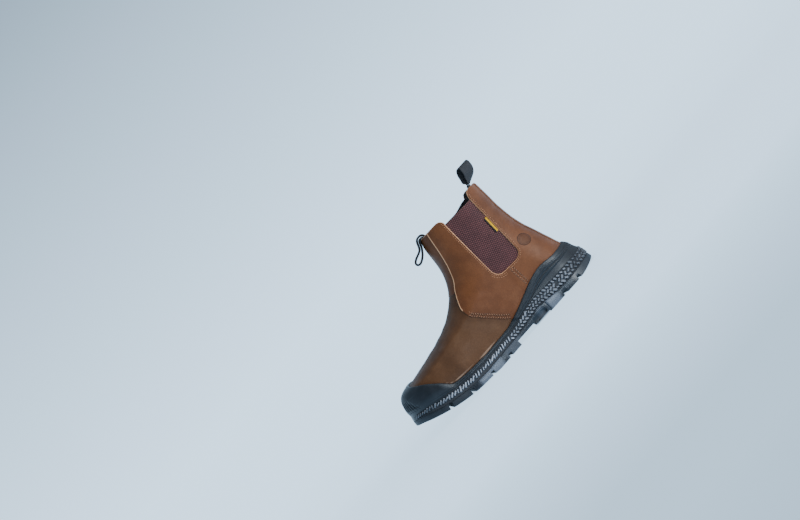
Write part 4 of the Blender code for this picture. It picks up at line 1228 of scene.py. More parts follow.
class SolePath:
    """Lines up the side of the sole at many turns, as the part's source draws them."""

    STEPS = 16

    def __init__(self, turns):
        foot = on_last(np.zeros_like(turns), turns)
        out = out_of(np.zeros_like(turns), turns)
        flat = unit(out * (1.0, 1.0, 0.0))
        self.x = foot[:, 0]
        self.joint = side_height("joint", self.x)
        self.rim = rim_level(turns)
        self.toe = ease((self.x - TOE_FROM) / (TOE_TO - TOE_FROM))
        low = foot.copy()
        low[:, 2] = self.joint
        lengths, points, normals = [np.zeros_like(turns)], [low], [flat]
        length = foot[:, 2] - self.joint
        last = foot
        for k in range(self.STEPS + 1):
            level = self.rim * k / self.STEPS
            step = QUARTER_STEP * quarter_share(level, turns)
            at = lifted(level, turns, step) if k else foot
            length = length + (np.linalg.norm(at - last, axis=1) if k else 0.0)
            last = at
            lengths.append(length)
            points.append(at)
            normals.append(unit(mix(flat, out_of(level, turns), k / self.STEPS)))
        self.lengths, self.points, self.normals = map(np.array, (lengths, points, normals))
        self.total = length

    def outside(self, length, inset):
        """Points on the outside of the rubber, at lengths up the path."""
        length = np.clip(length, 0.0, self.total)
        i = np.sum(self.lengths[1:-1] < length[None, :], axis=0)
        j = np.arange(len(length))
        l0, l1 = self.lengths[i, j], self.lengths[i + 1, j]
        t = ((length - l0) / np.maximum(l1 - l0, 1e-6))[:, None]
        at = mix(self.points[i, j], self.points[i + 1, j], t)
        out = unit(mix(self.normals[i, j], self.normals[i + 1, j], t))
        share = length / self.total
        rim = mix(RIM_SIDE, RIM_TOE, self.toe)
        low = side_height("margin", self.x)
        margin = rim + (low - rim) * mix(1 - share ** 1.8, (1 - share) ** 3, self.toe)
        return at + out * (margin - inset)[:, None], out


def band_edges(path):
    """Lengths up the side of the texture's top, the groove's edges and the rubber's top."""
    texture = side_height("texture", path.x) - path.joint
    groove = side_height("groove", path.x) - path.joint
    lower = np.maximum(groove - GROOVE_BELOW, texture + GROOVE_CLEAR)
    return texture, lower, lower + GROOVE_WIDE, path.total


def strips_across(count, start, up):
    """Faces that close a ring of columns from the outer to the inner side."""
    half = count // 2
    ring = start + np.arange(count)
    faces = [(ring[0], ring[1], ring[-1])]
    for j in range(1, half - 1):
        faces.append((ring[j], ring[j + 1], ring[count - j - 1], ring[count - j]))
    faces.append((ring[half - 1], ring[half], ring[half + 1]))
    return [face[::-1] if up else face for face in faces]


def closed_rings(loops):
    """Points and faces of rings from the bottom up, closed at both ends."""
    count, around = len(loops), len(loops[0])
    faces = list(grid_faces(count, around, wrap=True))
    faces += strips_across(around, 0, False) + strips_across(around, (count - 1) * around, True)
    return np.array(loops).reshape(-1, 3), faces


class BOOT_OT_midsole(bpy.types.Operator):
    """Moulds the rubber round the boot: textured band, hollow, groove, bead and toe bumper"""

    bl_idname = "boot.midsole"
    bl_label = "Rubber band"

    AROUND = 760
    DEEP_PALE, HOLLOW_SHARE, SWELL = 2.4, 0.45, 0.35
    FLUTE_PITCH, FLUTE_LEAN = 4.6, 9.0
    LINE_ABOVE, LINE_DEEP, LINE_WIDE = 2.4, 0.45, 0.45
    LINE_STEPS = (-1.6, -1.0, -0.5, 0.0, 0.5, 1.0, 1.6)
    # Heights over an edge, with the inset there in millimetres or as a share of the full depth.
    LIP = ((0.0, 0.5), (0.12, 0.15), (0.35, 0.0), (0.6, 0.04))
    BAND_STEP = ((0.8, 0.75), (1.05, 1.0))
    GROOVE_SIDE = ((-0.15, 0.08), (0.1, 0.35), (0.45, 0.9))
    # Shares of the way up the wall, with the inset there in millimetres.
    TOP_LIP = ((0.965, 0.16), (0.99, 0.5))

    def execute(self, context):
        rubber = settings().rubber
        look = rubber_look("band rubber", rubber.band, rubber.roughness, deep=self.DEEP_PALE)
        turns = 2.0 * np.arange(self.AROUND) / self.AROUND
        path = SolePath(turns)
        texture, lower, upper, top = band_edges(path)
        one = np.ones(self.AROUND)
        band = BAND_INSET * (1 - ease((path.x - BAND_END) / BAND_FADE))
        rows = [(up * one, inset * one) for up, inset in self.LIP]
        rows += [(up * one, share * band) for up, share in self.BAND_STEP]
        edge = self.BAND_STEP[-1][0]
        rows += [(mix(edge, texture - edge, s), band) for s in (0.25, 0.5, 0.75)]
        rows += [(texture - up, share * band) for up, share in reversed(self.BAND_STEP)]
        rows += [(texture - 0.6, 0.04 * one), (texture - 0.4, 0.0 * one)]
        hollow = (lower - texture) * PANEL_HOLLOW * self.HOLLOW_SHARE
        for s in np.linspace(0.0, 1.0, 13):
            rows.append((mix(texture - 0.2, lower - 0.4, s), hollow * 4 * s * (1 - s)))
        cut = GROOVE_DEPTH * (1 - path.toe)
        rows += [(lower + up, share * cut) for up, share in self.GROOVE_SIDE]
        rows += [(lower + 0.9, cut)]
        rows += [(upper - up, share * cut) for up, share in reversed(self.GROOVE_SIDE)]
        rows += self.wall(path, upper, top)
        rows += [(mix(upper + 0.4, top, share), inset * one) for share, inset in self.TOP_LIP]
        rows += [(top, 1.1 * one)]
        loops = [path.outside(length, inset)[0] for length, inset in rows]
        sunk = []
        for length, inset in rows:
            sunk.append(np.clip((inset - 0.3) / 0.5, 0.0, 1.0) * (length < upper + 0.2))
        for share in (1.0, 0.93, 0.75, 0.5, 0.25, 0.0):
            level = path.rim * share
            loops.append(lifted(level, turns, QUARTER_STEP * quarter_share(level, turns) + 0.12))
            sunk.append(0 * one)
        points, faces = closed_rings(loops)
        obj = new_piece("rubber_band", points, faces, look, hollow=np.array(sunk))
        finish_piece(obj, "midsole_rubber", "midsole")
        return {"FINISHED"}

    def wall(self, path, upper, top):
        """Rows above the groove: the swelling wall, the flutes of the toe and the thin line."""
        swell = mix(self.SWELL, 0.0, path.toe)
        run = travelled(path.points[1])
        around = np.abs(run - run[self.AROUND // 2])
        rows = []
        for s in np.linspace(0.02, 0.93, 22):
            lean = around + self.FLUTE_LEAN * s
            flute = 0.5 - 0.5 * np.cos(2 * np.pi * lean / self.FLUTE_PITCH)
            flute = flute * ease((46.0 - 34.0 * s - around) / 8.0) * ease((0.58 - s) / 0.3)
            inset = flute * path.toe - swell * math.sin(math.pi * s) ** 0.8
            rows.append((mix(upper + 0.4, top, s), inset))
        for away in self.LINE_STEPS:
            length = upper + self.LINE_ABOVE + away * self.LINE_WIDE
            deep = self.LINE_DEEP * math.exp(-(away ** 2)) * (1 - path.toe)
            share = np.clip((length - upper) / (top - upper), 0.0, 1.0)
            rows.append((length, deep - swell * np.sin(np.pi * share) ** 0.8))
        lengths, insets = np.array(rows).transpose(1, 0, 2)
        order = np.argsort(lengths, axis=0, kind="stable")
        return list(zip(*(np.take_along_axis(values, order, axis=0) for values in (lengths, insets))))


class Growth(Tree):
    """A Geometry Nodes tree in the making: a mesh, numbers and a material go in, a mesh comes out."""

    def __init__(self, name, numbers):
        super().__init__(bpy.data.node_groups.new(name, "GeometryNodeTree"))
        sockets = self.tree.interface
        for way in ("INPUT", "OUTPUT"):
            sockets.new_socket("Geometry", in_out=way, socket_type="NodeSocketGeometry")
        for label, default in numbers.items():
            number = sockets.new_socket(label, in_out="INPUT", socket_type="NodeSocketFloat")
            number.default_value = default
        sockets.new_socket("Material", in_out="INPUT", socket_type="NodeSocketMaterial")
        self.given = self.node("NodeGroupInput").outputs
        self.result = self.node("NodeGroupOutput").inputs["Geometry"]

    def kept(self, name):
        """A direction or size kept on the points."""
        settings = {"data_type": "FLOAT_VECTOR"}
        return self.node("GeometryNodeInputNamedAttribute", settings, Name=name).outputs["Attribute"]

    def joined(self, **parts):
        return self.node("ShaderNodeCombineXYZ", **parts).outputs["Vector"]

    def aimed(self, along, up):
        """Rotation whose X axis goes along and whose Z axis leans to up."""
        kind = "FunctionNodeAlignRotationToVector"
        first = self.node(kind, {"axis": "X"}, Vector=along).outputs["Rotation"]
        second = self.node(kind, {"axis": "Z", "pivot_axis": "X"}, Rotation=first, Vector=up)
        return second.outputs["Rotation"]

    def put(self, smooth, **inputs):
        """Puts a shape on points, realizes it and gives it the material."""
        put = self.node("GeometryNodeInstanceOnPoints", **inputs).outputs["Instances"]
        real = self.node("GeometryNodeRealizeInstances", Geometry=put).outputs["Geometry"]
        shaded = self.node("GeometryNodeSetShadeSmooth", Geometry=real, Shade_Smooth=smooth)
        paint = self.node(
            "GeometryNodeSetMaterial",
            Geometry=shaded.outputs["Geometry"], Material=self.given["Material"],
        )
        self.feed(self.result, paint.outputs["Geometry"])
        return self.tree


def stitch_tree():
    """Stitches along rows: an oval thread on every step of a row, turned by the slant."""
    sizes = {"Pitch": 0.003, "Length": 0.0024, "Width": 0.0009, "Height": 0.0009, "Slant": 0.0}
    tree = Growth("Stitches", sizes)
    given = tree.given
    rows = tree.node("GeometryNodeMeshToCurve", Mesh=given["Geometry"]).outputs["Curve"]
    steps = tree.node("GeometryNodeResampleCurve", {"mode": "LENGTH"}, Curve=rows, Length=given["Pitch"])
    lie = tree.aimed(tree.node("GeometryNodeInputTangent").outputs["Tangent"], tree.kept("up"))
    slant = tree.joined(Z=given["Slant"])
    turn = tree.node(
        "FunctionNodeRotateRotation", {"rotation_space": "LOCAL"}, Rotation=lie, Rotate_By=slant,
    )
    thread = tree.node("GeometryNodeMeshUVSphere", Segments=6, Rings=5, Radius=0.5)
    return tree.put(
        True, Points=steps.outputs["Curve"], Instance=thread.outputs["Mesh"],
        Rotation=turn.outputs["Rotation"],
        Scale=tree.joined(X=given["Length"], Y=given["Width"], Z=given["Height"]),
    )


def chip_tree():
    """Raised chips: a low four-sided block on every point, along its own direction."""
    tree = Growth("Chips", {"Height": 0.001})
    block = tree.node("GeometryNodeMeshCone", Vertices=4, Radius_Top=0.45, Radius_Bottom=0.64, Depth=1.0)
    square = tree.node(
        "GeometryNodeTransform", Geometry=block.outputs["Mesh"], Rotation=(0.0, 0.0, math.pi / 4),
    )
    wide, deep, _ = tree.split(tree.kept("size"))
    return tree.put(
        False, Points=tree.given["Geometry"], Instance=square.outputs["Geometry"],
        Rotation=tree.aimed(tree.kept("along"), tree.kept("up")),
        Scale=tree.joined(X=wide, Y=deep, Z=tree.given["Height"]),
    )


def bake(obj):
    """Gives the object the plain mesh that its modifiers make, and drops them."""
    evaluated = obj.evaluated_get(bpy.context.evaluated_depsgraph_get())
    baked = bpy.data.meshes.new_from_object(evaluated)
    obj.modifiers.clear()
    obj.data = baked
    return baked


def grown(name, points, edges, vectors, tree, slot, **inputs):
    """Runs a tree on points with vectors kept on them, and keeps the plain mesh it makes."""
    mesh = bpy.data.meshes.new(name + "_rows")
    mesh.from_pydata(place(points).tolist(), edges, [])
    for label, values in vectors.items():
        keep_values(mesh, label, values, "FLOAT_VECTOR")
    obj = link(name, mesh)
    modifier = obj.modifiers.new("Nodes", "NODES")
    modifier.node_group = tree
    for socket in tree.interface.items_tree:
        if socket.in_out == "INPUT" and socket.name in inputs:
            modifier[socket.identifier] = inputs[socket.name]
    baked = bake(obj)
    if not baked.polygons:
        raise RuntimeError(f"{name}: the node tree made no faces")
    if not baked.materials:
        baked.materials.append(inputs["Material"])
    finish_piece(obj, slot)


class BOOT_OT_chips(bpy.types.Operator):
    """Raises the slanted chips of the sole's textured band"""

    bl_idname = "boot.chips"
    bl_label = "Side chips"

    ROW_TALL, MOST_ROWS, CHIP_WIDE = 4.4, 3, 0.60
    STROKES_FROM, STROKE_PITCH, STROKE, STROKE_WIDE = 146.0, 4.0, 5.4, 0.36
    SLANT, STEEP, LEAN = math.radians(40.0), math.radians(60.0), math.radians(18.0)
    UNEVEN, LONG, BASE_SINK = 0.16, 1.2, 0.55
    LAST_X, GAP_X, GAP_HALF = 291.0, 57.6, 1.5

    def execute(self, context):
        rubber = settings().rubber
        # Painted highlight: the chips' pale colour and their paler listed stretches.
        look = rubber_look("chip rubber", rubber.chip, rubber.roughness, worn=CHIP_WORN)
        fine = np.linspace(0.0, 2.0, 4001)[:-1]
        run = travelled(on_last(np.zeros_like(fine), fine))
        chance = np.random.default_rng(5)
        parts = []
        for row in range(self.MOST_ROWS + 1):
            strokes = row == self.MOST_ROWS
            count = int(run[-1] / (self.STROKE_PITCH if strokes else rubber.chip_pitch))
            stops = (np.arange(count) + 0.5 * (row % 2)) * run[-1] / count
            turns = np.interp(stops, run, fine)
            path = SolePath(turns)
            texture = band_edges(path)[0]
            rows = np.clip(np.round(texture / self.ROW_TALL), 2, self.MOST_ROWS)
            tall = np.full(count, self.STROKE) if strokes else (texture - 1.6) / rows
            length = texture - 0.9 - 0.5 * tall if strokes else 0.8 + tall * (row + 0.5)
            at, out = path.outside(length, BAND_INSET - self.BASE_SINK)
            ahead = SolePath(turns + 0.004).outside(length, BAND_INSET)[0]
            along = unit(ahead - path.outside(length, BAND_INSET)[0])
            steep = self.STEEP - self.LEAN * (np.arange(count) % 3 == 1)
            steep = np.where(turns < 1.0, steep, math.pi - steep)
            slant = steep if strokes else np.full(count, self.SLANT * (1 if row % 2 else -1))
            slant = (slant + chance.normal(0.0, self.UNEVEN, count))[:, None]
            lie = along * np.cos(slant) + np.cross(out, along) * np.sin(slant)
            tall = tall * (1 + chance.normal(0.0, self.UNEVEN, count))
            wide = (self.STROKE_WIDE if strokes else self.CHIP_WIDE) * tall
            size = stack(self.LONG * tall, wide, tall) * MM
            ahead_of = path.x > self.STROKES_FROM
            keep = (path.x < self.LAST_X) & (ahead_of if strokes else ~ahead_of & (row < rows))
            keep &= np.abs(path.x - self.GAP_X) > self.GAP_HALF
            parts.append([values[keep] for values in (at, out, lie, size)])
        points, up, along, size = (np.concatenate(rows) for rows in zip(*parts))
        vectors = {"up": up, "along": along, "size": size}
        inputs = {"Height": rubber.chip_proud, "Material": look}
        grown("side_chips", points, [], vectors, chip_tree(), "midsole_rubber", **inputs)
        return {"FINISHED"}


def cutter_box(centre, size, turn=(0.0, 0.0, 0.0)):
    """Box that cuts a groove of the tread, in millimetres."""
    bm = bmesh.new()
    matrix = Matrix.Translation(Vector(place(centre)))
    for axis, angle in zip("ZYX", reversed(turn)):
        matrix = matrix @ Matrix.Rotation(angle, 4, axis)
    matrix = matrix @ Matrix.Diagonal((*(np.array(size) * MM), 1.0))
    bmesh.ops.create_cube(bm, size=1.0, matrix=matrix)
    return bm


def recess_cutter(centre, side):
    """Rounded slot along X that goes into the side of the sole."""
    bm = bmesh.new()
    radius = RECESS_TALL / 2
    reach = RECESS_LONG / 2 - radius
    angles = [2 * math.pi * (k + 0.5) / RECESS_POINTS for k in range(RECESS_POINTS)]
    rings = []
    for y in (-RECESS_DEEP, RECESS_DEEP + 6.0):
        ring = []
        for angle in angles:
            x = radius * math.cos(angle) + math.copysign(reach, math.cos(angle))
            at = (centre[0] + x, centre[1] + side * y, centre[2] + radius * math.sin(angle))
            ring.append(bm.verts.new(place(at)))
        rings.append(ring)
    first, second = rings
    for j, k in enumerate([*range(1, RECESS_POINTS), 0]):
        bm.faces.new((first[j], first[k], second[k], second[j]))
    for ring in rings:
        bm.faces.new(ring)
    bmesh.ops.recalc_face_normals(bm, faces=bm.faces[:])
    return bm


def tread_cutters():
    """All grooves, arch cuts and recesses of the tread."""
    made = []
    for x, wide, long in CHEVRONS:
        slope = (side_height("bottom", x + 6) - side_height("bottom", x - 6)) / 12
        for outer in (1, -1):
            sweep = math.atan(GROOVE_SWEEP) * outer
            middle_x = x + CHEVRON_TIP - 0.5 * long * math.sin(abs(sweep))
            y = outer * (long / 2 - CHEVRON_CROSS) + centre_line(x)
            z = side_height("bottom", middle_x) + GROOVE_RISE - CUTTER_TALL / 2
            turn = (0.0, -math.atan(slope), sweep)
            made.append(cutter_box((middle_x, y, z), (wide, long, CUTTER_TALL), turn))
    for start, end in MIDDLE_GROOVES:
        x, long = (start + end) / 2, end - start
        slope = (side_height("bottom", end) - side_height("bottom", start)) / long
        drift = (centre_line(end) - centre_line(start)) / long
        z = side_height("bottom", x) + MIDDLE_RISE - CUTTER_TALL / 2
        turn = (0.0, -math.atan(slope), math.atan(drift))
        made.append(cutter_box((x, centre_line(x), z), (long, MIDDLE_GROOVE, CUTTER_TALL), turn))
    for start, end, rise in ARCH_CUTS:
        centre = ((start + end) / 2, 0.0, rise - CUTTER_TALL / 2)
        made.append(cutter_box(centre, (end - start, CUTTER_WIDE, CUTTER_TALL)))
    line_top = float(side_height("joint", SHANK_LINE_X)) - SHANK_LINE_STOP
    line_size = (SHANK_LINE_WIDE, 2 * SHANK_LINE_DEEP, CUTTER_TALL)
    for side, outer in ((1, True), (-1, False)):
        path = SolePath(turn_at(np.zeros(2), np.array([RECESS_X, SHANK_LINE_X]), outer))
        edge = path.outside(0.0, -LUG_TOP)[0][:, 1]
        made.append(recess_cutter((RECESS_X, edge[0], RECESS_Z), side))
        made.append(cutter_box((SHANK_LINE_X, edge[1], line_top - CUTTER_TALL / 2), line_size))
    return made


class BOOT_OT_outsole(bpy.types.Operator):
    """Cuts the lugs, arch and recesses of the tread and softens their edges"""

    bl_idname = "boot.outsole"
    bl_label = "Tread"

    COLUMNS, SMOOTHER, SKIN, DEEP_DARK = 240, 0.16, 1100.0, 0.45
    EDGE, EDGE_ANGLE, SHARP_ANGLE = 0.00045, math.radians(38.0), math.radians(32.0)
    FOOT_IN, FOOT_UP = 0.3, 0.5
    WALL_TURN, WALL_UPRIGHT, HOLLOW_FROM = 0.5, 0.9, 7.0

    def execute(self, context):
        rubber = settings().rubber
        rough = rubber.roughness - self.SMOOTHER
        # Painted highlights on listed lugs, and duller stretches that get rougher.
        wear = {"worn": TREAD_WORN, "dulled": TREAD_DULL}
        # DEEP_DARK darkens the grooves and recesses that mark_hollows finds: painted shade.
        look = rubber_look("tread rubber", rubber.tread, rough, self.SKIN, self.DEEP_DARK, **wear)
        path = SolePath(2.0 * np.arange(self.COLUMNS) / self.COLUMNS)
        bottom = side_height("bottom", path.x)
        loops = []
        for grow, height in (
            (LUG_FOOT - self.FOOT_IN, bottom),
            (LUG_FOOT, bottom + self.FOOT_UP),
            (LUG_TOP, path.joint - GAP - EDGE_UP),
            (LUG_TOP - EDGE_IN, path.joint - 0.1),
        ):
            ring = path.outside(0.0, -grow)[0]
            loops.append(stack(ring[:, 0], ring[:, 1], height))
        obj = new_piece("tread", *closed_rings(loops), look, smooth=False)
        cutters = []
        for number, bm in enumerate(tread_cutters()):
            mesh = bpy.data.meshes.new(f"tread_cut_{number}")
            bm.to_mesh(mesh)
            bm.free()
            cutters.append(link(mesh.name, mesh))
            cut = obj.modifiers.new(mesh.name, "BOOLEAN")
            cut.solver = "EXACT"
            cut.object = cutters[-1]
        soft = obj.modifiers.new("Soft edges", "BEVEL")
        soft.width = self.EDGE
        soft.segments = 2
        soft.limit_method = "ANGLE"
        soft.angle_limit = self.EDGE_ANGLE
        baked = bake(obj)
        for cutter in cutters:
            bpy.data.objects.remove(cutter, do_unlink=True)
        self.mark_hollows(baked, path)
        baked.polygons.foreach_set("use_smooth", np.ones(len(baked.polygons), bool))
        baked.set_sharp_from_angle(angle=self.SHARP_ANGLE)
        finish_piece(obj, "outsole_rubber", "outsole")
        return {"FINISHED"}

    def mark_hollows(self, mesh, path):
        """Keeps on the points whether their largest face lies in a groove or a recess."""
        count = len(mesh.polygons)
        centre, normal, area = np.zeros((count, 3)), np.zeros((count, 3)), np.zeros(count)
        for name, values in (("center", centre), ("normal", normal), ("area", area)):
            mesh.polygons.foreach_get(name, values.reshape(-1))
        ring, out = path.outside(0.0, -LUG_TOP)
        ring = place(ring)
        apart = np.linalg.norm(ring[None, :, :2] - centre[:, None, :2], axis=2)
        near = np.argmin(apart, axis=1)
        inset = np.sum((ring[near] - centre) * out[near] * (1.0, 1.0, 0.0), axis=1)
        turned = np.sum(normal * out[near], axis=1)
        wall = (turned < self.WALL_TURN) & (np.abs(normal[:, 2]) < self.WALL_UPRIGHT)
        sunk = (inset > self.HOLLOW_FROM * MM) & (normal[:, 2] < self.WALL_UPRIGHT)
        hollow = wall | sunk
        value, largest = np.zeros(len(mesh.vertices)), np.zeros(len(mesh.vertices))
        for polygon in mesh.polygons:
            for corner in polygon.vertices:
                if area[polygon.index] > largest[corner]:
                    largest[corner] = area[polygon.index]
                    value[corner] = hollow[polygon.index]
        keep_values(mesh, "hollow", value)


class BOOT_OT_insole(bpy.types.Operator):
    """Lays the cloth-covered insole, a little cupped"""

    bl_idname = "boot.insole"
    bl_label = "Insole"

    COLUMNS, PITCH, CUP, PROUD, EDGE = 260, 2.2, 1.2, 0.9, 0.6

    def execute(self, context):
        look = cloth_look("insole cloth", settings().cloth.lining, self.PITCH)
        turns = 2.0 * np.arange(self.COLUMNS) / self.COLUMNS
        rim = lifted(INSOLE_LEVEL, turns, -WALL - INSOLE_ROOM)
        middle = stack(rim[:, 0], centre_line(rim[:, 0]), rim[:, 2])
        floor = side_height("footbed", rim[:, 0]) + GAP
        edge = floor + INSOLE_THICK - self.EDGE
        loops = [stack(rim[:, 0], rim[:, 1], height) for height in (floor, edge)]
        for share in (0.02, 0.05, 0.12, 0.25, 0.45, 0.65, 0.85):
            at = mix(rim, middle, share)
            cup = self.CUP * ease(share / 0.5)
            height = floor + INSOLE_THICK + self.PROUD - cup - 0.3 * (share < 0.04)
            loops.append(stack(at[:, 0], at[:, 1], height))
        points, faces = closed_rings(loops)
        obj = new_piece("footbed", points, faces, look, uv=points[:, :2])
        finish_piece(obj, "insole_cloth", "insole")
        return {"FINISHED"}


def smoothed(points, rounds):
    """Points of an open row, eased towards their neighbours."""
    points = points.copy()
    for _ in range(rounds):
        points[1:-1] = 0.5 * points[1:-1] + 0.25 * (points[:-2] + points[2:])
    return points


class BOOT_OT_loops(bpy.types.Operator):
    """Folds the webbing pull loops at the back and the front of the collar"""

    bl_idname = "boot.loops"
    bl_label = "Pull loops"

    PITCH, RELIEF, ROUGHNESS = 1.5, 0.2, 0.8
    RUBBED, RUBBED_PITCH, RUBBED_RELIEF = 1.5, 2.2, 0.45
    FRONT_EXTRA, LEAN_REACH = 0.9, 0.1
    ACROSS = (0.0, 0.2, 0.45, 0.7, 0.88, 0.95, 0.985, 1.0)
    LINE_ROUNDS, LEAN_ROUNDS = 6, 8

    def execute(self, context):
        self.back_loop(settings().cloth.webbing)
        self.front_loop(settings().cloth.webbing)
        return {"FINISHED"}

    def back_loop(self, colour):
        rubbed = shade(colour, self.RUBBED)
        weave = {"roughness": self.ROUGHNESS, "sheen": 0.0, "relief": self.RUBBED_RELIEF}
        look = cloth_look("rubbed webbing", rubbed, self.RUBBED_PITCH, **weave)
        shares = np.concatenate([np.linspace(0.0, 0.9, 60), np.linspace(0.91, 0.985, 12)])
        stops, offset = self.strands(shares, LOOP_HALF_GAP, 1.0)
        heights, places = zip(*LOOP_LINE)
        z = mix(heights[0], heights[-1], stops)
        turn = LOOP_TWIST * ease((z - LOOP_TURN_LOW) / (LOOP_TURN_HIGH - LOOP_TURN_LOW))
        across = stack(np.sin(turn), np.cos(turn), 0.0)
        away = stack(-np.cos(turn), np.sin(turn), 0.0)
        line = stack(Curve(heights, places)(z), 0.0, z) + away * offset
        self.fold("pull_loop_webbing", line, across, LOOP_THICK, look, "pull_loop")

    def front_loop(self, colour):
        weave = {"roughness": self.ROUGHNESS, "sheen": 0.0, "relief": self.RELIEF}
        look = cloth_look("black webbing", colour, self.PITCH, **weave)
        steps = np.arange(len(FRONT_LINE))
        x_line, z_line = (Curve(steps, places) for places in zip(*FRONT_LINE))
        end = float(steps[-1])
        shares = np.concatenate([np.linspace(0.0, 10.5, 90), np.linspace(10.55, 10.97, 12)])
        stops, offset = self.strands(shares, FRONT_HALF_GAP, end)
        before = np.maximum(stops - self.LEAN_REACH, 0.0)
        after = np.minimum(stops + self.LEAN_REACH, end)
        along = unit(stack(x_line(after) - x_line(before), 0.0, z_line(after) - z_line(before)))
        side = stack(0.0, 1.0, 0.0 * stops)
        line = stack(x_line(stops), 0.0, z_line(stops)) + unit(np.cross(along, side)) * offset
        self.fold("front_loop_webbing", line, side, LOOP_THICK + self.FRONT_EXTRA, look, "front_loop")

    def strands(self, shares, half_gaps, end):
        """Stops up one strand of a loop, over its end and down the other, with their offsets."""
        gaps = Curve(*zip(*half_gaps))(shares)
        stops = np.concatenate([shares, [end], shares[::-1]])
        return stops, np.concatenate([gaps, [0.0], -gaps[::-1]])[:, None]

    def fold(self, name, line, across, thick, look, node):
        """Closed webbing along a line, thick outwards, with rounded edges."""
        line = smoothed(line, self.LINE_ROUNDS)
        away = unit(np.cross(unit(np.gradient(line, axis=0)), across))
        away = unit(smoothed(away, self.LEAN_ROUNDS))[:, None, :]
        half = np.array(self.ACROSS)
        share = np.concatenate([-half[:0:-1], half])
        edge = LOOP_HALF_WIDE * (1 - np.abs(share))
        part = np.clip(1 - edge / (thick * 0.5), 0.0, 1.0)
        fall = (thick * 0.5 * (1 - np.sqrt(1 - part ** 2)))[None, :, None]
        wide = LOOP_HALF_WIDE * share
        middle = line[:, None, :] + across[:, None, :] * wide[None, :, None]
        surface = np.stack(np.broadcast_arrays(wide[None, :], travelled(line)[:, None]), axis=-1)
        outer, inner = middle + away * (thick - fall), middle + away * fall
        add_sheet(name, outer, inner, look, "loop_webbing", node, uv=surface)


def level_of_height(z, x, outer):
    """Level at which the vamp surface at x reaches a height."""
    return crossing(lambda level: skin(level, x, outer)[..., 2] < z, np.shape(z), COLLAR_LEVEL)


class BOOT_OT_label(bpy.types.Operator):
    """Folds the plain woven label at the rear edge of the outer elastic panel"""

    bl_idname = "boot.label"
    bl_label = "Side label"

    ROWS, THICK, SWELL = 28, 0.55, 0.35
    ACROSS = (0.0, 0.06, 0.16, 0.3, 0.5, 0.7, 0.84, 0.94, 1.0)

    def execute(self, context):
        cloth = settings().cloth
        look = label_look("label tape", cloth.label, cloth.webbing)
        z = np.linspace(LABEL_LOW, LABEL_HIGH, self.ROWS)
        share = np.array(self.ACROSS)
        edge = gusset_edges(level_of_height(z, GUSSET_REAR_BASE, True))[0] + LABEL_CLEAR
        x = edge[:, None] + LABEL_WIDE * share[None, :]
        height = np.broadcast_to(z[:, None], x.shape)
        at = skin(level_of_height(height, x, True), x, True)
        base = GAP + 0.1 - GUSSET_SINK
        swell = self.SWELL * np.sqrt(np.clip(np.sin(np.pi * share), 0.0, 1.0))
        outer = at + stack(0.0, base + self.THICK + swell, 0.0)
        inner = at + (0.0, base, 0.0)
        surface = np.stack([x - edge[:, None], height], axis=-1)
        add_sheet("label_tape", outer, inner, look, "label_cloth", "side_label", uv=surface)
        return {"FINISHED"}


def quarter_row(flat_line, outer, lift):
    """Points and outward directions of a stitch row over the quarter."""
    level, x = from_flat(flat_line)
    turn = turn_at(level, x, outer)
    return leather(level, turn, lift), out_of(level, turn)


def shifted(line, inset):
    """A flat line moved sideways, to the right of its direction."""
    ahead = unit(np.gradient(line, axis=0))
    return line + np.stack([ahead[:, 1], -ahead[:, 0]], axis=-1) * inset


def above_rubber(line, outer, clear=0.25):
    """The part of a flat line that shows above the rubber."""
    level, x = from_flat(line)
    return line[level > rim_level(turn_at(level, x, outer)) + clear]


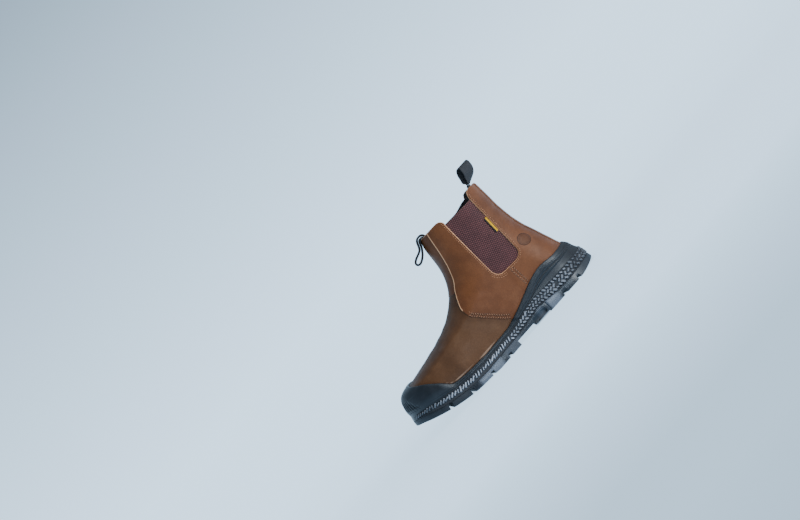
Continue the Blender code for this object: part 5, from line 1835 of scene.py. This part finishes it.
class BOOT_OT_stitches(bpy.types.Operator):
    """Sews the rows along the panels' edges and the slanted rows of the side seams, with dark ovals under
    the threads as painted shade of their grooves
    """

    bl_idname = "boot.stitches"
    bl_label = "Stitches"

    EDGE_PALE, SEAM_PALE, MARK_DARK = 1.5, 1.3, 0.3
    FRONT_ROWS, NOTCH_ROWS, SEAM_ROWS = (-1.6, -4.6), (-2.4, -4.6), (1.8, -2.0)
    SLANT, PROUD = math.radians(48.0), 0.05
    U_TOP, COLLAR_STOP, TAB_FRONT, TAB_BACK = 5.5, 11.7, 25.0, -32.0
    # Lengths as shares of the pitch, widths and heights as shares of the thread.
    SEAM_LONG, MARK_TALL = 0.95, 0.45
    EDGE_MARK, SEAM_MARK = (1.02, 1.1), (1.25, 3.4)

    def execute(self, context):
        cloth = settings().cloth
        brown = thread_look("brown thread", shade(cloth.thread, self.EDGE_PALE))
        pale = thread_look("seam thread", shade(cloth.thread, self.SEAM_PALE))
        # The dark ovals under the threads are painted shade of the stitch grooves.
        dark = thread_look("needle marks", shade(settings().leather.dark, self.MARK_DARK))
        plain, slanted, counter = self.rows()
        seams = (("seam", slanted, self.SLANT), ("seam_counter", counter, -self.SLANT))
        tree = stitch_tree()
        edge, seam, wide = cloth.stitch_pitch, cloth.seam_pitch, cloth.thread_wide
        self.sew(tree, "edge_stitches", plain, brown, 0.0, edge, cloth.stitch_long, wide, wide)
        for name, rows, slant in seams:
            long = self.SEAM_LONG * seam
            self.sew(tree, f"{name}_stitches", rows, pale, slant, seam, long, wide, wide)
        # Painted shade: flat dark ovals under every stitch.
        low = self.MARK_TALL * wide
        long, broad = self.EDGE_MARK[0] * edge, self.EDGE_MARK[1] * wide
        self.sew(tree, "edge_marks", plain, dark, 0.0, edge, long, broad, low)
        long, broad = self.SEAM_MARK[0] * seam, self.SEAM_MARK[1] * wide
        for name, rows, slant in seams:
            self.sew(tree, f"{name}_marks", rows, dark, slant, seam, long, broad, low)
        return {"FINISHED"}

    def rows(self):
        """Edge rows, slanted seam rows and their counter rows: flat line, side and lift of each."""
        plain, slanted, counter = [], [], []
        for outer in (True, False):
            _, raw, edge, seam = front_quarter_ring(outer)
            low = edge[np.interp(edge[:, 1], FLAT_HEIGHTS, FLAT_LEVELS) <= self.U_TOP]
            low = above_rubber(low, outer, 0.05)
            near, far = (shifted(low, inset) for inset in self.FRONT_ROWS)
            slanted.append((near, outer, QUARTER_STEP - 0.75))
            counter.append((far, outer, QUARTER_STEP - 0.5))
            side = raw[len(edge):]
            level = from_flat(side)[0]
            notch = side[(level < self.COLLAR_STOP) & (side[:, 0] < self.TAB_FRONT)]
            foot = side[level < GUSSET_LEVEL + 0.45]
            back = back_quarter_ring(outer)[1]
            level, x = from_flat(back)
            back = back[(level < self.COLLAR_STOP) & (back[:, 0] > self.TAB_BACK) & (x < SEAM_X)]
            near, far = self.NOTCH_ROWS
            for line, inset in ((notch, near), (foot, far), (back, near)):
                plain.append((shifted(line, inset), outer, QUARTER_STEP))
            near, far = (spread(seam + (across, 0.0), 1.0)[3:] for across in self.SEAM_ROWS)
            slanted.append((above_rubber(near, outer), outer, QUARTER_STEP + 0.7))
            counter.append((above_rubber(far, outer), outer, QUARTER_STEP))
        return plain, slanted, counter

    def sew(self, tree, name, rows, look, slant, pitch, length, width, height):
        points, ups, edges = [], [], []
        count = 0
        for line, outer, lift in rows:
            if len(line) < 3:
                raise RuntimeError(f"{name}: a row has no length")
            at, up = quarter_row(line, outer, lift + self.PROUD)
            points.append(at)
            ups.append(up)
            edges += [(count + i, count + i + 1) for i in range(len(line) - 1)]
            count += len(line)
        sizes = {"Pitch": pitch, "Length": length, "Width": width, "Height": height}
        inputs = {**sizes, "Slant": slant, "Material": look}
        points, vectors = np.concatenate(points), {"up": np.concatenate(ups)}
        grown(name, points, edges, vectors, tree, "upper_leather", **inputs)


class BOOT_OT_stage(bpy.types.Operator):
    """Sets the floor, the surround, the lamps and the camera"""

    bl_idname = "boot.stage"
    bl_label = "Stage"

    FLOOR_RADIUS, FLOOR_DROP, SENSOR = 14.0, -0.0002, 36.0
    OVAL_SHIFT, OVAL = (0.036, 0.0, 0.0), (1 / 0.098, 1 / 0.034, 0.0)
    ARCH_MIDDLE, ARCH_HALF, ARCH_SOFT = -0.026, 0.015, 0.004
    WARM, COOL = (1.0, 0.95, 0.90), (0.86, 0.94, 1.0)
    # Place, target, width and tint of each lamp.
    LAMPS = {
        "key": ((-1.00, 1.03, 0.47), (-0.03, 0.03, 0.06), 0.9, WARM),
        "front": ((-0.32, 1.50, 0.62), (-0.03, 0.03, 0.04), 0.42, COOL),
        "top": ((-0.16, 0.60, 1.03), (0.0, 0.03, 0.04), 0.5, COOL),
    }

    def execute(self, context):
        stage = settings().stage
        self.floor(stage)
        self.surround(stage, context.scene)
        for name, values in self.LAMPS.items():
            self.lamp(f"{name} lamp", getattr(stage, name), *values)
        camera = bpy.data.cameras.new("camera")
        camera.lens = stage.lens
        camera.sensor_width = self.SENSOR
        obj = link("camera", camera)
        right = Vector((-math.cos(stage.roll), 0.0, -math.sin(stage.roll)))
        up = Vector((-math.sin(stage.roll), 0.0, math.cos(stage.roll)))
        axes = Matrix((right, up, Vector((0.0, 1.0, 0.0)))).transposed().to_4x4()
        obj.matrix_world = Matrix.Translation(Vector(stage.eye)) @ axes
        context.scene.camera = obj
        return {"FINISHED"}

    def surround(self, stage, scene):
        """Soft light all round, weaker from above and from the front."""
        scene.world = bpy.data.worlds.new("soft surround")
        scene.world.use_nodes = True
        sky = Tree(scene.world.node_tree)
        _, ahead, up = sky.split(sky.node("ShaderNodeTexCoord").outputs["Generated"])
        strength = sky.times(sky.span(up, 0.02, 0.42, 1.7, 0.55), sky.span(ahead, 0.1, 0.7, 1.0, 0.32))
        light = sky.tree.nodes["Background"]
        sky.feed(light.inputs["Color"], (*stage.sky, 1.0))
        sky.feed(light.inputs["Strength"], strength)

    def floor(self, stage):
        """Pale floor that glows though it is no lamp, a painted light that fades towards +y; in an oval
        under the sole, but not under the arch, it is darker and glows less, a painted contact shadow.
        """
        mesh = bpy.data.meshes.new("floor")
        bm = bmesh.new()
        bmesh.ops.create_circle(bm, cap_ends=True, segments=96, radius=self.FLOOR_RADIUS)
        bmesh.ops.translate(bm, verts=bm.verts, vec=(0.0, 0.0, self.FLOOR_DROP))
        bm.to_mesh(mesh)
        bm.free()
        look = Look("pale floor")
        at = look.coords()
        x, ahead, _ = look.split(at)
        oval = look.vector("MULTIPLY", look.vector("ADD", at, self.OVAL_SHIFT)[0], self.OVAL)[0]
        away = look.vector("LENGTH", oval)["Value"]
        arch = look.math("ABSOLUTE", look.math("SUBTRACT", x, self.ARCH_MIDDLE))
        arch = look.span(arch, self.ARCH_HALF, self.ARCH_HALF + self.ARCH_SOFT, 1.0, 0.0)
        cloud = look.span(look.noise(at, 3.0, 2.0), 0.3, 0.7)
        base = look.blend(cloud, stage.floor, shade(stage.floor, 1.04))
        # Painted contact shadow: the floor is darker in an oval under the sole, not under the arch.
        bright = look.math("MAXIMUM", look.span(away, 0.85, 1.05, 0.12, 1.0), arch)
        base = look.blend(bright, shade(stage.floor, 0.1), base)
        mesh.materials.append(look.use(base_color=base, specular_ior_level=0.2, roughness=0.75))
        # Painted light: the floor's glow, weaker towards +y.
        strength = look.span(ahead, -1.0, 0.45, 1.7, 1.52)
        strength = look.times(strength, look.span(ahead, 0.40, 0.75, 1.0, 0.65))
        strength = look.times(strength, look.span(ahead, 0.85, 1.3, 1.0, 0.6))
        glow = look.node("ShaderNodeEmission", Color=(*stage.sky, 1.0), Strength=strength)
        # Painted contact shadow: less glow in the oval under the sole, outside the arch.
        share = look.math("MAXIMUM", look.span(away, 0.8, 1.3, 0.05, 0.86), look.times(arch, 0.8))
        share = look.plus(share, look.span(away, 2.0, 9.0, 0.0, 0.14))
        plain, glow = look.shader.outputs["BSDF"], glow.outputs["Emission"]
        join = look.node("ShaderNodeMixShader", i0=share, i1=plain, i2=glow)
        look.feed(look.tree.nodes["Material Output"].inputs["Surface"], join.outputs["Shader"])
        obj = link("floor", mesh)

    def lamp(self, name, power, at, target, wide, tint):
        data = bpy.data.lights.new(name, "AREA")
        data.shape = "DISK"
        data.size = wide
        data.energy = power
        data.color = tint
        obj = link(name, data)
        obj.location = at
        obj.rotation_euler = (Vector(target) - Vector(at)).to_track_quat("-Z", "Y").to_euler()


class BOOT_PT_panel(bpy.types.Panel):
    """Lists the boot's pieces in the sidebar"""

    bl_idname = "BOOT_PT_panel"
    bl_label = "Work boot"
    bl_space_type = "VIEW_3D"
    bl_region_type = "UI"
    bl_category = "Boot"

    def draw(self, context):
        for step in STEPS:
            self.layout.operator(step.bl_idname)
        for part in ("leather", "cloth", "rubber", "stage"):
            group = getattr(context.scene.boot, part)
            box = self.layout.box()
            for name in group.__annotations__:
                box.prop(group, name)


STEPS = (
    BOOT_OT_stage,
    BOOT_OT_lining,
    BOOT_OT_vamp,
    BOOT_OT_front_panel,
    BOOT_OT_quarters,
    BOOT_OT_back_strip,
    BOOT_OT_gussets,
    BOOT_OT_midsole,
    BOOT_OT_chips,
    BOOT_OT_outsole,
    BOOT_OT_insole,
    BOOT_OT_loops,
    BOOT_OT_label,
    BOOT_OT_stitches,
)
GROUPS = (BootLeather, BootCloth, BootRubber, BootStage, BootSettings)


def register():
    for group in GROUPS + STEPS + (BOOT_PT_panel,):
        bpy.utils.register_class(group)
    bpy.types.Scene.boot = PointerProperty(type=BootSettings)


def unregister():
    del bpy.types.Scene.boot
    for group in reversed(GROUPS + STEPS + (BOOT_PT_panel,)):
        bpy.utils.unregister_class(group)


def main():
    register()
    for step in STEPS:
        group, name = step.bl_idname.split(".")
        getattr(getattr(bpy.ops, group), name)()


if __name__ == "__main__":
    main()
